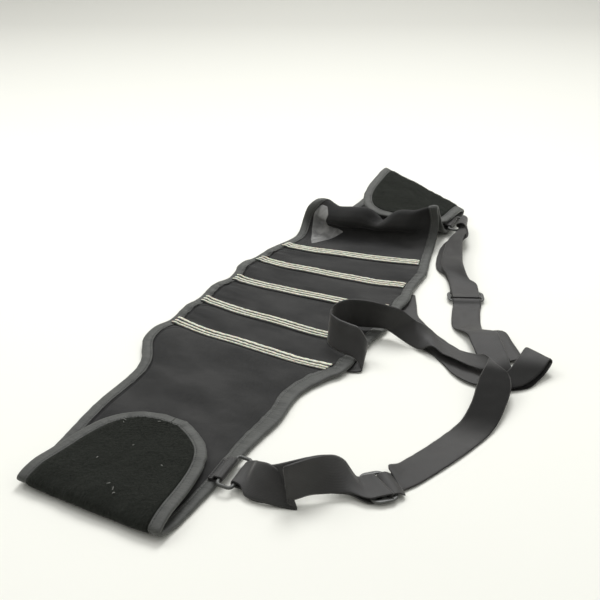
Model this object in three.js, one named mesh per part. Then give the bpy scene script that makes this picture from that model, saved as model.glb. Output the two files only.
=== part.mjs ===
// Lumbosacral brace lying inner side up: a back panel with five grip tapes, two
// wings whose front tabs are folded back over the belt, edge binding, and two
// shoulder straps with rings and sliders. Units mm, +Z up. +Y runs along the belt
// from the near tab to the far tab, +X across it towards the strap side. The
// origin is under the middle of the back panel, on the face the brace rests on.
import * as THREE from 'three';

// ---- driving sizes ----
const WALL = 2.4;            // belt fabric, padded
const GAP = 0.3;             // clearance between neighbouring pieces
const BIND_T = 0.8;          // binding tape thickness
const BIND_W = 13;           // binding tape width on each face
const PILE_T = 1.6;          // closure pile thickness
const TAPE_W = 19;           // grip tape width
const TAPE_T = 0.8;          // grip tape base thickness
const BEAD_H = 1.0;          // bead height above the tape
const BEAD_W = 2.6;          // bead width at its foot
const BEAD_PITCH = 5.5;      // spacing of the three beads
const TAB_W = 36;
const STRAP_W = 36;          // shoulder strap width
const STRAP_T = 1.5;         // shoulder strap thickness
const RING_BAR = 3.6;        // ring wire diameter
const RING_L = 51;           // ring length along the strap's width
const RING_D = 15;           // distance between the ring's two long bars
const SLIDER_L = 47, SLIDER_D = 27, SLIDER_T = 2.4, SLIDER_BAR = 4.2;

const REST_Z = WALL / 2;     // mid surface height where the wall lies flat
const EDGE = BIND_T + GAP + 0.25; // wall edge is this far inside the outer edge

// ---- belt sections: left and right outer edge of the mid surface ----
// flat: 1 where the section lies on the table between raised edges
// lean, drop, dip: how far the middle of the rolled fold leans back towards the
// near end, sags, and is dented
const BELT = [
  // name          xl    yl    zl     xr    yr    zr   flat lean drop dip
  ['near_tip',     -6, -321,  5.2,   22, -322,  5.2,   0,   0,   0,   0],
  ['near_tip2',   -33, -329,  5.4,   45, -336,  5.5,   0,   0,   0,   0],
  ['near_cap',    -54, -354,  7.6,   67, -356,  7.6,   0,   0,   0,   0],
  ['near_cap2',   -62, -386, 10.0,   82, -387, 10.0,   0,   0,   0,   0],
  ['near_tab',    -66, -430, 12.0,   91, -430, 12.5,   0,   0,   0,   0],
  ['near_top',    -67, -460, 15.0,   96, -464, 15.5,   0,   0,   0,   0],
  ['near_fold', -68.5, -478.5, 9.0, 98.5, -484, 9.4, 0, 0, 0, 0],
  ['near_foot', -70, -462, 3.1, 100.5, -467, 2.9, 1, 0, 0, 0],
  ['wing_a', -76, -410, 2.8, 102, -411, 2.8, 1, 0, 0, 0],
  ['wing_b', -88, -330, 2.8, 100.5, -323, 2.8, 1, 0, 0, 0],
  ['wing_c', -89, -266, 2.9, 104, -268, 2.8, 1, 0, 0, 0],
  ['shoulder_a', -98, -235, 3.5, 98, -226, 2.8, 1, 0, 0, 0],
  ['shoulder_b', -120, -203,  6.0,  103, -199,  3.0,   1,   0,   0,   0],
  ['shoulder_c', -127, -166, 5.0, 114, -173, 4.0, 1, 0, 0, 0],
  ['tape_1', -121, -142, 3.0, 122, -161, 5.0, 1, 0, 0, 0],
  ['mid_12', -122.5, -107.5, 7.0, 124, -121.5, 6.5, 1, 0, 0, 0],
  ['tape_2', -121.5, -76, 3.0, 120.5, -90, 5.5, 1, 0, 0, 0],
  ['mid_23', -123.5, -38.5, 7.0, 126, -40, 4.2, 1, 0, 0, 0],
  ['tape_3', -117, -4, 3.0, 121.5, 10, 5.5, 1, 0, 0, 0],
  ['mid_34', -123, 30, 9.0, 122, 44, 6.5, 1, 0, 0, 0],
  ['tape_4', -120, 64.5, 3.0, 114, 76, 5.0, 1, 0, 0, 0],
  ['mid_45', -114, 88, 7.0, 113, 124, 4.0, 1, 0, 0, 0],
  ['tape_5', -111.5, 122.5, 3.0, 103.5, 159, 3.0, 1, 0, 0, 0],
  ['far_a', -105.5, 145.5, 3.0, 97, 185, 3.0, 1, 0, 0, 0],
  ['far_foot', -103.5, 165, 5.0, 92, 208.5, 5.0, 1, 0, 0, 0],
  ['far_back', -106.5, 186.5, 20.0, 89, 229, 18.0, 0, -5, 6, 0],
  ['far_rise', -103, 192, 37.0, 87, 237, 38.0, 0, 18, 11, 3],
  ['far_crest', -94, 203, 47.5, 85, 231, 59.0, 0, 4, 7, 19],
  ['far_over', -87, 213, 45.0, 84, 241, 54.0, 0, 2, 8, 20],
  ['far_down',    -83,  233, 24.0,   86,  251, 30.0,   0,   6,   5,   4],
  ['far_valley',  -80,  262,  9.0,   88,  270,  5.5,   0,   3,   2,   0],
  ['far_run',     -75,  312,  6.0,   88,  318,  3.5,   0,   0,   0,   0],
  ['far_under', -67, 386, 22.0, 87, 345, 3.3, 0, 0, 0, 0],
  ['far_fold', -66, 404, 33.0, 86, 354, 7.2, 0, 0, 0, 0],
  ['far_top', -64, 393, 42.0, 86, 347, 13.0, 0, 0, 0, 0],
  ['far_tab', -61, 345, 40.0, 87, 317, 18.0, 0, 0, 0, 0],
  ['far_cap',     -57,  303, 36.0,   85,  280, 18.5,   0,   0,   0,   0],
  ['far_cap2',    -49,  276, 31.0,   75,  258, 22.0,   0,   0,   0,   0],
  ['far_tip2',    -31,  252, 27.0,   50,  246, 24.0,   0,   0,   0,   0],
  ['far_tip',      -8,  243, 25.0,   24,  243, 24.5,   0,   0,   0,   0],
].map(([name, xl, yl, zl, xr, yr, zr, flat, lean, drop, dip]) =>
  ({ name, l: new THREE.Vector3(xl, yl, zl), r: new THREE.Vector3(xr, yr, zr), flat, lean, drop, dip }));

// ---- strap routes: centre, direction of the width (yaw, tilt in degrees), and
// how far below (sep) and to the side (slip) the second layer lies where the strap is
// doubled; a row with no sep shapes the upper layer only ----
const ROUTE_COLS = (rows) => rows.map(([name, x, y, z, yaw, tilt, sep, slip = 0]) => ({ name, x, y, z, yaw, tilt, sep, slip }));
const NEAR_DOUBLE = ROUTE_COLS([
  // name        x      y     z    yaw  tilt  sep     ring to slider, upper layer
  ['ring',     116, -373.5, 10.5, 94,   0,  6.2],
  ['leave',  123.5, -374, 11.4,   95,   9,  5.0],
  ['l1', 133, -383, 14.4, 93, 34, 4.0],
  ['l2', 151.5, -386.5, 17.2, 101, 51, 4.0],
  ['tuck', 173.2, -382, 12.8, 147, 44],
  ['crest', 172.5, -389, 25.4, 134, 75],
  ['r1', 177.5, -382, 25.6, 134, 75],
  ['r2', 186, -368.5, 24.8, 129, 72, 3.4],
  ['r3', 196.5, -354.5, 22.0, 122, 57, 2.8],
  ['r4', 204, -345, 18.4, 122, 40, 2.8],
  ['r5', 211.5, -339, 14.0, 125, 23, 2.8],
]);
const NEAR_SLIDER = { x: 238.2, y: -328.2, z: 4.0, yaw: 134 };
const NEAR_SINGLE = ROUTE_COLS([
  // name        x      y     z    yaw  tilt        slider to the sewn end
  ['d0', 248, -309.5, 4.6, 137, 9],
  ['d1', 254.5, -294, 2.2, 143, 3],
  ['d2', 264.5, -266, 1.2, 162, 0],
  ['d3', 277, -228, 1.2, 164, 0],
  ['d4', 287, -186, 2.2, 172, 0],
  ['d5', 287.8, -152, 8.0, 184, 0],
  ['d6', 283, -115, 15.0, 187, 0],
  ['crease', 276, -84, 18.0, 143, 0],
  ['roll', 265.2, -75.5, 15.2, 133, 0],
  ['under', 252, -73.5, 10.4, 119, 0],
  ['a2r', 229, -65.5, 7.0, 108, -8],
  ['a2', 215, -61, 6.8, 110, -8],
  ['a2l', 202.5, -57, 7.4, 111, -6],
  ['arch',     185,  -51, 13.4,  112,   6],
  ['corner',   171,  -55, 15.0,  120,  42],
  ['fold',     147,  -48, 18.2,    8,  38],
  ['fw3',      136,  -49, 24.2,    4,  56],
  ['fw2',      124,  -51, 26.0,    2,  70],
  ['fw1',      100,  -55, 26.6,   60,  84],
  ['fw0',       82,  -63, 26.6,  120,  86],
  ['turn',      74,  -82, 26.8,  185,  88],
  ['turn2',     78, -104, 26.8,  235,  97],
  ['nw0',       91, -115, 26.6,   82,  72],
  ['nw1',      107, -120, 26.6,   92,  68],
  ['nw2',      121, -123, 26.2,   98,  64],
  ['curl1', 130.5, -125, 17.4, 102, 46],
  ['curl2', 133, -125, 9.8, 102, 26],
  ['curl3', 128.5, -127.5, 3.2, 99, 6],
  ['sewn1', 119, -130, 1.3, 96, 0],
  ['sewn_end', 98, -130, 1.3, 94, 0],
]);
const FAR_DOUBLE = ROUTE_COLS([
  // name        x      y     z    yaw  tilt  sep
  ['ring',     103,  294, 14.4, -84,  0,  6.2],
  ['leave',  109.5,  290, 16.0,  -80,   6,  5.4],
  ['turn', 116, 265, 18.0, -60, 13, 6.0, 0],
  ['c0', 115.3, 243, 16.4, -45, 17, 5.6, 6],
  ['c1', 117.7, 221.2, 15.4, -33, 18, 5.0, 12],
  ['c2', 128.7, 181.8, 14.5, -21, 16, 5.0, 13],
  ['c3', 140.7, 147, 14.8, -12, 20, 4.6, 10],
  ['step', 155, 129, 9.6, -14, 8, 4.0, 4],
  ['c4',       167,  115,  8.0,   10,   6,  3.8, 0],
]);
const FAR_SLIDER = { x: 181, y: 87, z: 4.0, yaw: 25 };
const FAR_SINGLE = ROUTE_COLS([
  // name        x      y     z    yaw  tilt
  ['c5',       193,   55,  1.8,   29,   0],
  ['c6',       206,   18,  1.4,   18,   0],
  ['jog',      213,    6,  4.0,   14,   4],
  ['crest', 232.5, -6.5, 10.4, 26, 4],
  ['p2', 245.5, -26, 9.4, 34, 3],
  ['c7', 261, -48, 4.6, 42, 2],
  ['u1', 275, -72, 1.0, 48, 0],
  ['u2', 290, -86, 1.0, 88, 0],
  ['u3', 301.5, -75, 1.2, 132, 0],
  ['u4', 305.2, -59, 4.0, 154, 0],
  ['u5', 309.5, -44, 9.2, 156, 0],
  ['crest_a', 310, -32.3, 13.2, 156, 0],
  ['crest_b', 308.5, -34, 16.2, 156, 0],
  ['e1', 306.2, -45.5, 13.6, 156, 0],
  ['e2', 302.8, -61, 8.6, 152, 0],
  ['e3', 297, -79, 5.4, 131, 0],
  ['e4',       284,  -91,  3.8,  104,   0],
  ['b1',       264,  -93,  3.4,   92,   0],
  ['b2',       250,  -91,  3.0,   80,   0],
  ['b3', 238, -83, 2.0, 60, 0],
  ['b4', 225.7, -70.6, 1.1, 48, 0],
  ['b5', 208, -56.5, 1.1, 48, 0],
  ['b6', 187, -44.5, 1.1, 47, 0],
  ['b7', 166, -30, 1.1, 45, 0],
  ['b8', 147, -13.5, 1.1, 40, 0],
  ['b9', 128.5, 6, 1.1, 29, 0],
  ['sewn', 115, 34.5, 1.1, 22, 0],
  ['sewn_end', 103, 60, 1.1, 21, 0],
]);

// ring bars held by the belt edge: where the tab-side bar and strap-side bar lie
const NEAR_RING = { x: 109.5, y: -375, z: 8.2, yaw: 94, slope: -6 };
const FAR_RING = { x: 95.5, y: 295, z: 11.8, yaw: -84, slope: -4 };

// ---- colours ----
const FABRIC = { color: 0x3f3f40, roughness: 0.78, metalness: 0 };
const BINDING = { color: 0x5b5f5a, roughness: 0.6, metalness: 0 };
const PILE = { color: 0x2c2f2a, roughness: 1, metalness: 0 };
const GRIP = { color: 0xd5d3bf, roughness: 0.6, metalness: 0 };
const WEBBING = { color: 0x474644, roughness: 0.85, metalness: 0 };
const PLASTIC = { color: 0x5f625c, roughness: 0.5, metalness: 0 };

// ---- belt surface ----
const rad = THREE.MathUtils.degToRad, ss = THREE.MathUtils.smoothstep, lerp = THREE.MathUtils.lerp;
const N_ROW = BELT.length;
const ROW = Object.fromEntries(BELT.map((b, i) => [b.name, i]));
const leftEdge = new THREE.CatmullRomCurve3(BELT.map(b => b.l), false, 'centripetal');
const rightEdge = new THREE.CatmullRomCurve3(BELT.map(b => b.r), false, 'centripetal');
function column(key, r) {
  const i = Math.min(Math.floor(r), N_ROW - 2);
  return lerp(BELT[i][key], BELT[i + 1][key], r - i);
}
// point of the mid surface: r counts sections, w runs 0..1 from left to right edge
function section(rc, w) {
  const a = leftEdge.getPoint(rc / (N_ROW - 1)), b = rightEdge.getPoint(rc / (N_ROW - 1));
  const p = a.clone().lerp(b, w);
  const lying = column('flat', rc);
  if (lying > 0) {
    const z = REST_Z + (a.z - REST_Z) * (1 - ss(w, 0, 0.28)) + (b.z - REST_Z) * ss(w, 0.72, 1);
    p.z = lerp(p.z, z, lying);
  }
  const mid = ss(w, 0.06, 0.2) * (1 - ss(w, 0.79, 0.975));
  p.y -= column('lean', rc) * mid;
  p.z -= column('drop', rc) * mid + column('dip', rc) * Math.exp(-(((w - 0.56) / 0.08) ** 2));
  return p;
}
// the same, eased along the belt so that folds are round, and run on past the tips
const EASE = 0.35;
function S(r, w) {
  const rc = THREE.MathUtils.clamp(r, 0, N_ROW - 1), d = Math.min(EASE, rc, N_ROW - 1 - rc);
  const p = section(rc, w).multiplyScalar(2).add(section(rc - d, w)).add(section(rc + d, w)).divideScalar(4);
  if (r !== rc) p.addScaledVector(S(rc, w).sub(S(rc + (r < 0 ? 0.1 : -0.1), w)), Math.abs(r - rc) * 10);
  return p;
}
function frameAt(r, w) {
  const h = 0.02, r0 = Math.max(0, r - h), r1 = Math.min(N_ROW - 1, r + h);
  const dr = S(r1, w).sub(S(r0, w)).divideScalar(r1 - r0);
  const dw = S(r, w + h).sub(S(r, w - h)).divideScalar(2 * h);
  return { p: S(r, w), dr, dw, n: new THREE.Vector3().crossVectors(dw, dr).normalize() };
}
const width = (r) => S(r, 0).distanceTo(S(r, 1));

// ---- solids from grids and swept sections ----
function geometry(verts, tris) {
  const g = new THREE.BufferGeometry();
  g.setAttribute('position', new THREE.Float32BufferAttribute(verts.flatMap(v => [v.x, v.y, v.z]), 3));
  g.setIndex(tris.flat());
  g.computeVertexNormals();
  return g;
}
function volume(verts, tris) {
  return tris.reduce((s, [a, b, c]) => s + verts[a].dot(new THREE.Vector3().crossVectors(verts[b], verts[c])) / 6, 0);
}
// joins equal corners, drops collapsed faces and turns the faces outwards
function solid(verts, tris) {
  const seen = new Map(), unique = [], id = verts.map(v => {
    const key = [v.x, v.y, v.z].map(c => Math.round(c * 1e4)).join();
    if (!seen.has(key)) { seen.set(key, unique.length); unique.push(v); }
    return seen.get(key);
  });
  const kept = tris.map(t => t.map(i => id[i])).filter(([a, b, c]) => a !== b && b !== c && c !== a);
  return geometry(unique, volume(unique, kept) < 0 ? kept.map(([a, b, c]) => [a, c, b]) : kept);
}
const quad = (tris, a, b, c, d, turned) => turned ? tris.push([a, b, d], [b, c, d]) : tris.push([a, b, c], [a, c, d]);
// closed section polygons swept through stations, capped at both ends or closed;
// turned lists the section edges whose quads are split along the other diagonal
function sweep(stations, { closed = false, cap = null, turned = [] } = {}) {
  const m = stations[0].length, k = stations.length, tris = [];
  for (let i = 0; i < (closed ? k : k - 1); i++) {
    const a = i * m, b = ((i + 1) % k) * m;
    for (let j = 0; j < m; j++) quad(tris, a + j, a + (j + 1) % m, b + (j + 1) % m, b + j, turned.includes(j));
  }
  if (!closed) {
    const faces = cap ?? Array.from({ length: m - 2 }, (_, j) => [0, j + 1, j + 2]), last = (k - 1) * m;
    for (const [x, y, z] of faces) tris.push([x, z, y], [last + x, last + y, last + z]);
  }
  return solid(stations.flat(), tris);
}
// wall between two offsets of a grid of surface frames; a zipped end row is folded
// on its middle and needs no end face
function wall(grid, lo, hi, { zipStart = false, zipEnd = false } = {}) {
  const nu = grid.length, nv = grid[0].length, verts = [], tris = [];
  for (const off of [lo, hi]) for (const row of grid) for (const { p, n } of row) verts.push(p.clone().addScaledVector(n, off));
  const id = (s, i, j) => s * nu * nv + i * nv + j;
  for (let i = 0; i < nu - 1; i++) for (let j = 0; j < nv - 1; j++) {
    const turned = 2 * j + 1 > nv - 1;
    quad(tris, id(1, i, j), id(1, i, j + 1), id(1, i + 1, j + 1), id(1, i + 1, j), turned);
    const q = [];
    quad(q, id(0, i, j), id(0, i, j + 1), id(0, i + 1, j + 1), id(0, i + 1, j), turned);
    for (const [a, b, c] of q) tris.push([a, c, b]);
  }
  for (let i = 0; i < nu - 1; i++) {
    quad(tris, id(0, i, 0), id(1, i, 0), id(1, i + 1, 0), id(0, i + 1, 0));
    quad(tris, id(0, i, nv - 1), id(0, i + 1, nv - 1), id(1, i + 1, nv - 1), id(1, i, nv - 1));
  }
  for (let j = 0; j < nv - 1; j++) {
    if (!zipStart) quad(tris, id(0, 0, j), id(0, 0, j + 1), id(1, 0, j + 1), id(1, 0, j));
    if (!zipEnd) quad(tris, id(0, nu - 1, j), id(1, nu - 1, j), id(1, nu - 1, j + 1), id(0, nu - 1, j + 1));
  }
  return solid(verts, tris);
}

const root = new THREE.Group();
root.name = 'lumbosacral_brace';
function add(name, geo, m) {
  const mesh = new THREE.Mesh(geo, new THREE.MeshStandardMaterial(m));
  mesh.name = name;
  root.add(mesh);
}

// ---- outline of the belt: s counts sections along an edge and runs on by one at
// each end to the middle of the tip ----
const LAST = N_ROW - 1;
function edgePoint(side, s) {
  const k = s < 0 ? -s / 2 : s > LAST ? (s - LAST) / 2 : 0;
  return [THREE.MathUtils.clamp(s, 0, LAST), side ? 1 - k : k];
}
// section coordinates a distance d in from the edge, square to it
function inset(side, s, d) {
  const q0 = edgePoint(side, s), h = s < 2 || s > LAST - 2 ? 0.3 : 0.06, f = frameAt(...q0);
  const t = S(...edgePoint(side, s + h)).sub(S(...edgePoint(side, s - h))).normalize();
  const e = new THREE.Vector3().crossVectors(t, f.n).normalize();
  if (e.dot(S(THREE.MathUtils.clamp(s, 1.5, LAST - 1.5), 0.5).sub(f.p)) < 0) e.negate();
  const target = f.p.clone().addScaledVector(e, d);
  let q = q0;
  for (let k = 0; k < 7; k++) {
    const g = frameAt(...q), res = target.clone().sub(g.p);
    const rr = g.dr.dot(g.dr), rw = g.dr.dot(g.dw), ww = g.dw.dot(g.dw), det = rr * ww - rw * rw;
    const br = g.dr.dot(res), bw = g.dw.dot(res);
    q = [q[0] + 0.7 * (br * ww - bw * rw) / det, q[1] + 0.7 * (bw * rr - br * rw) / det];
  }
  return { q, e, t };
}
// the rows of the grid bow inwards round the tips, so that they never cross
const BOW = [[-1, 0], [-0.5, 2.5], [0, 5], [0.5, 4], [1, 2.5], [1.5, 1], [2, 0]];
function bow(s) {
  const k = Math.min(s, LAST - s), i = BOW.findIndex(([a]) => a > k);
  return i < 1 ? 0 : lerp(BOW[i - 1][1], BOW[i][1], (k - BOW[i - 1][0]) / (BOW[i][0] - BOW[i - 1][0]));
}
const COLS = { near: [0.11, 0.28, 0.5, 0.72, 0.89], back: [0.1, 0.27, 0.5, 0.73, 0.9], far: [0.03, 0.09, 0.16, 0.3, 0.42, 0.49, 0.56, 0.63, 0.72, 0.86] };
function beltRow(s, cols) {
  const a = inset(0, s, EDGE).q, b = inset(0, s, BIND_W).q;
  if (s <= -1 || s >= LAST + 1) return [a, b, ...cols.map(() => b), b, a].map(q => frameAt(...q));
  const c = inset(1, s, BIND_W).q, d = inset(1, s, EDGE).q, deep = bow(s) * (s > LAST / 2 ? -1 : 1);
  const inner = cols.map(v => {
    const r = lerp(b[0], c[0], v), w = lerp(b[1], c[1], v);
    return [r + deep * (1 - (2 * v - 1) ** 2) / frameAt(r, w).dr.length(), w];
  });
  return [a, b, ...inner, c, d].map(q => frameAt(...q));
}

// ---- belt walls ----
const T1 = ROW.tape_1, T5 = ROW.tape_5;
const SEAM = 0.006;                      // half the seam between panel and wing, in sections
const TAPE_S = TAPE_W / 2 / 34;          // half a tape's width, in sections
const TAPES = ['tape_1', 'tape_2', 'tape_3', 'tape_4', 'tape_5'].map(t => ROW[t]);
const NEAR_S = [-1, -0.5, 0, 0.5, 1, 1.5, 2, 3, 4, 4.6, 5, 5.3, 5.55, 5.8, 6, 6.2, 6.45, 6.7, 7, 8, 9, 10, 10.6, 11.3, 12, 12.6, 13.2, T1 - TAPE_S];
const BACK_S = TAPES.slice(0, -1).flatMap(t => [...(t > T1 ? [t] : []), t + TAPE_S, t + 0.6, t + 1, t + 1.4, t + 2 - TAPE_S]);
const FAR_S = [T5 + TAPE_S, 23, 23.6, 24, 24.5, 25, 25.5, 26, 26.4, 26.7, 27, 27.3, 27.7, 28.2, 28.7, 29.3, 29.7, 30.1, 30.6, 31.3, 32, 32.5, 32.8, 33.1, 33.4, 33.7, 34, 34.5, 35, 36, 37, 37.5, 38, 38.5, LAST, LAST + 0.5, LAST + 1];
const grid = (list, cols) => list.map(s => beltRow(s, cols));
add('near_wing', wall(grid([...NEAR_S, T1 - SEAM], COLS.near), -WALL / 2, WALL / 2, { zipStart: true }), FABRIC);
add('back_panel', wall(grid([T1 + SEAM, ...BACK_S, T5 - SEAM], COLS.back), -WALL / 2, WALL / 2), FABRIC);
add('far_wing', wall(grid([T5 + SEAM, ...FAR_S], COLS.far), -WALL / 2, WALL / 2, { zipEnd: true }), FABRIC);

// ---- edge binding: a tape folded over the wall's edge, one run on each side ----
const HALF = WALL / 2 + GAP, OUTER = HALF + BIND_T, RIM = EDGE - BIND_T;
function bindingRun(side) {
  const list = [...NEAR_S, T1, ...BACK_S, T5, ...FAR_S];
  return sweep(list.map(s => {
    const { q, e, t } = inset(side, s, EDGE), f = frameAt(...q), g = frameAt(...inset(side, s, BIND_W).q);
    const clear = s <= -1 ? 0.2 : s >= LAST + 1 ? -0.2 : 0;
    const at = (out, n) => f.p.clone().addScaledVector(e, -out).addScaledVector(f.n, n).addScaledVector(t, clear);
    const leg = (n) => at(0, n).lerp(g.p.clone().addScaledVector(g.n, n).addScaledVector(t, clear), 1 - 0.6 / (BIND_W - EDGE));
    return [at(EDGE * 0.7, OUTER), leg(OUTER), leg(HALF), at(RIM, HALF), at(RIM, -HALF), leg(-HALF), leg(-OUTER), at(EDGE * 0.7, -OUTER)];
  }), { cap: [[0, 1, 2], [0, 2, 3], [0, 3, 4], [0, 4, 7], [4, 5, 6], [4, 6, 7]], turned: [2, 6] });
}
add('lower_binding', bindingRun(0), BINDING);
add('upper_binding', bindingRun(1), BINDING);

// ---- closure pile on the outer face of each folded tab ----
const inner = (rows) => rows.map(row => row.slice(1, -1));
add('near_pile', wall(inner(grid(NEAR_S.filter(s => s < 6.5), COLS.near)), -HALF - PILE_T, -HALF, { zipStart: true }), PILE);
add('far_pile', wall(inner(grid(FAR_S.filter(s => s > 32.7), COLS.far)), -HALF - PILE_T, -HALF, { zipEnd: true }), PILE);

// ---- grip tapes: a base tape with three beads, lying on the panel ----
function gripTape(row, cols) {
  const top = HALF + TAPE_T, crown = top + BEAD_H, h = TAPE_W / 2, outline = [[-h, HALF], [0, HALF], [h, HALF], [h, top]];
  for (const c of [1, 0, -1]) outline.push([c * BEAD_PITCH + BEAD_W / 2, top], [c * BEAD_PITCH + BEAD_W / 4, crown], [c * BEAD_PITCH - BEAD_W / 4, crown], [c * BEAD_PITCH - BEAD_W / 2, top]);
  outline.push([-h, top]);
  const cap = THREE.ShapeUtils.triangulateShape(outline.map(([x, y]) => new THREE.Vector2(x, y)), []);
  const [before, on, after] = [row - TAPE_S, row, row + TAPE_S].map(s => beltRow(s, cols).slice(1, -1));
  return sweep(on.map((m, j) => outline.map(([c, n]) => {
    const o = c < 0 ? before[j] : after[j], k = Math.abs(c) / h;
    return m.p.clone().addScaledVector(m.n, n).lerp(o.p.clone().addScaledVector(o.n, n), k);
  })), { cap, turned: [0, 1] });
}
TAPES.forEach((t, i) => add(`grip_tape_${i + 1}`, gripTape(t, COLS.back), GRIP));

// ---- straps ----
const across = ({ yaw, tilt = 0 }) => new THREE.Vector3(Math.cos(rad(tilt)) * Math.cos(rad(yaw)), Math.cos(rad(tilt)) * Math.sin(rad(yaw)), Math.sin(rad(tilt)));
const centre = ({ x, y, z }) => new THREE.Vector3(x, y, z);
const station = (c, d) => ({ c, d });
// route of one strap: hooked on the slider's middle bar, back along the upper layer
// to the ring, round its bar, along the lower layer, under the slider's first two
// bars, over its third and on to the sewn end
function strapRoute(double, slider, single) {
  const up = double.map((row, i) => {
    const d = across(row), t = centre(double[Math.min(i + 1, double.length - 1)]).sub(centre(double[Math.max(i - 1, 0)])).normalize();
    const n = new THREE.Vector3().crossVectors(t, d).normalize();
    return { c: centre(row), d, t: t.addScaledVector(d, -t.dot(d)).normalize(), n, sep: row.sep, slip: row.slip };
  });
  const sd = across(slider), st = new THREE.Vector3(sd.y, -sd.x, 0), sz = new THREE.Vector3(0, 0, 1);
  if (st.dot(up[up.length - 1].t) < 0) st.negate();
  const flip = Math.sign(up[up.length - 1].n.z);
  up.forEach(u => u.n.multiplyScalar(flip));
  const at = (along, h) => station(centre(slider).addScaledVector(st, along).addScaledVector(sz, h), sd);
  const pitch = (SLIDER_D - SLIDER_BAR) / 2, lift = SLIDER_T / 2 + GAP + STRAP_T / 2 + 0.25;
  const round = up[0].sep / 2, first = up[0];
  const wrap = (a) => station(first.c.clone().addScaledVector(first.n, -round + round * Math.cos(a)).addScaledVector(first.t, -round * Math.sin(a)), first.d);
  return [
    at(pitch * 0.42, lift - 1.7), at(pitch * 0.22, lift), at(-pitch * 0.5, lift + 0.1), at(-pitch * 1.3, lift + 0.6),
    ...up.slice().reverse().map(u => station(u.c, u.d)),
    wrap(Math.PI * 0.25), wrap(Math.PI * 0.5), wrap(Math.PI * 0.75),
    ...up.filter(u => u.sep !== undefined).map(u => station(u.c.clone().addScaledVector(u.n, -u.sep).addScaledVector(u.d, -u.slip), u.d)),
    at(-pitch * 1.3, -lift), at(-pitch * 0.2, -lift), at(pitch * 0.25, -lift + 0.3), at(pitch * 0.62, lift * 0.4), at(pitch * 0.95, lift), at(pitch * 1.25, lift - 0.3), at(pitch * 1.8, -lift + 1.2),
    ...single.map(row => station(centre(row), across(row))),
  ];
}
function strap(route, per) {
  const half = STRAP_W / 2;
  const ea = new THREE.CatmullRomCurve3(route.map(s => s.c.clone().addScaledVector(s.d, -half)), false, 'centripetal');
  const eb = new THREE.CatmullRomCurve3(route.map(s => s.c.clone().addScaledVector(s.d, half)), false, 'centripetal');
  const count = (route.length - 1) * per, pts = [];
  for (let i = 0; i <= count; i++) pts.push([ea.getPoint(i / count), eb.getPoint(i / count)]);
  return sweep(pts.map(([a, b], i) => {
    const p = pts[Math.max(0, i - 1)], q = pts[Math.min(count, i + 1)];
    const t = q[0].clone().add(q[1]).sub(p[0]).sub(p[1]).normalize();
    const n = new THREE.Vector3().crossVectors(t, b.clone().sub(a)).normalize().multiplyScalar(STRAP_T / 2);
    return [a.clone().add(n), b.clone().add(n), b.clone().sub(n), a.clone().sub(n)];
  }));
}
add('near_strap', strap(strapRoute(NEAR_DOUBLE, NEAR_SLIDER, NEAR_SINGLE), 2), WEBBING);
add('far_strap', strap(strapRoute(FAR_DOUBLE, FAR_SLIDER, FAR_SINGLE), 2), WEBBING);

// ---- rings: round wire bent to a rounded rectangle ----
function ring({ x, y, z, yaw, slope }) {
  const d = across({ yaw }), s = rad(slope);
  const t = new THREE.Vector3(-d.y, d.x, 0);
  if (t.x < 0) t.negate();
  t.multiplyScalar(Math.cos(s)).add(new THREE.Vector3(0, 0, Math.sin(s)));
  const n = new THREE.Vector3().crossVectors(t, d).normalize(), r = 4, hl = RING_L / 2 - RING_BAR / 2, hd = RING_D / 2, pts = [];
  for (const [cx, cy, a0] of [[hl - r, hd - r, 0], [-hl + r, hd - r, 90], [-hl + r, -hd + r, 180], [hl - r, -hd + r, 270]])
    for (const a of [0, 30, 60, 90]) {
      const q = rad(a0 + a), o = new THREE.Vector3().addScaledVector(d, Math.cos(q)).addScaledVector(t, Math.sin(q));
      pts.push({ p: new THREE.Vector3(x, y, z).addScaledVector(d, cx).addScaledVector(t, cy).addScaledVector(o, r), o });
    }
  return sweep(pts.map(({ p, o }) => Array.from({ length: 8 }, (_, k) => {
    const a = k * Math.PI / 4;
    return p.clone().addScaledVector(o, Math.cos(a) * RING_BAR / 2).addScaledVector(n, Math.sin(a) * RING_BAR / 2);
  })), { closed: true });
}
add('near_ring', ring(NEAR_RING), PLASTIC);
add('far_ring', ring(FAR_RING), PLASTIC);

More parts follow.
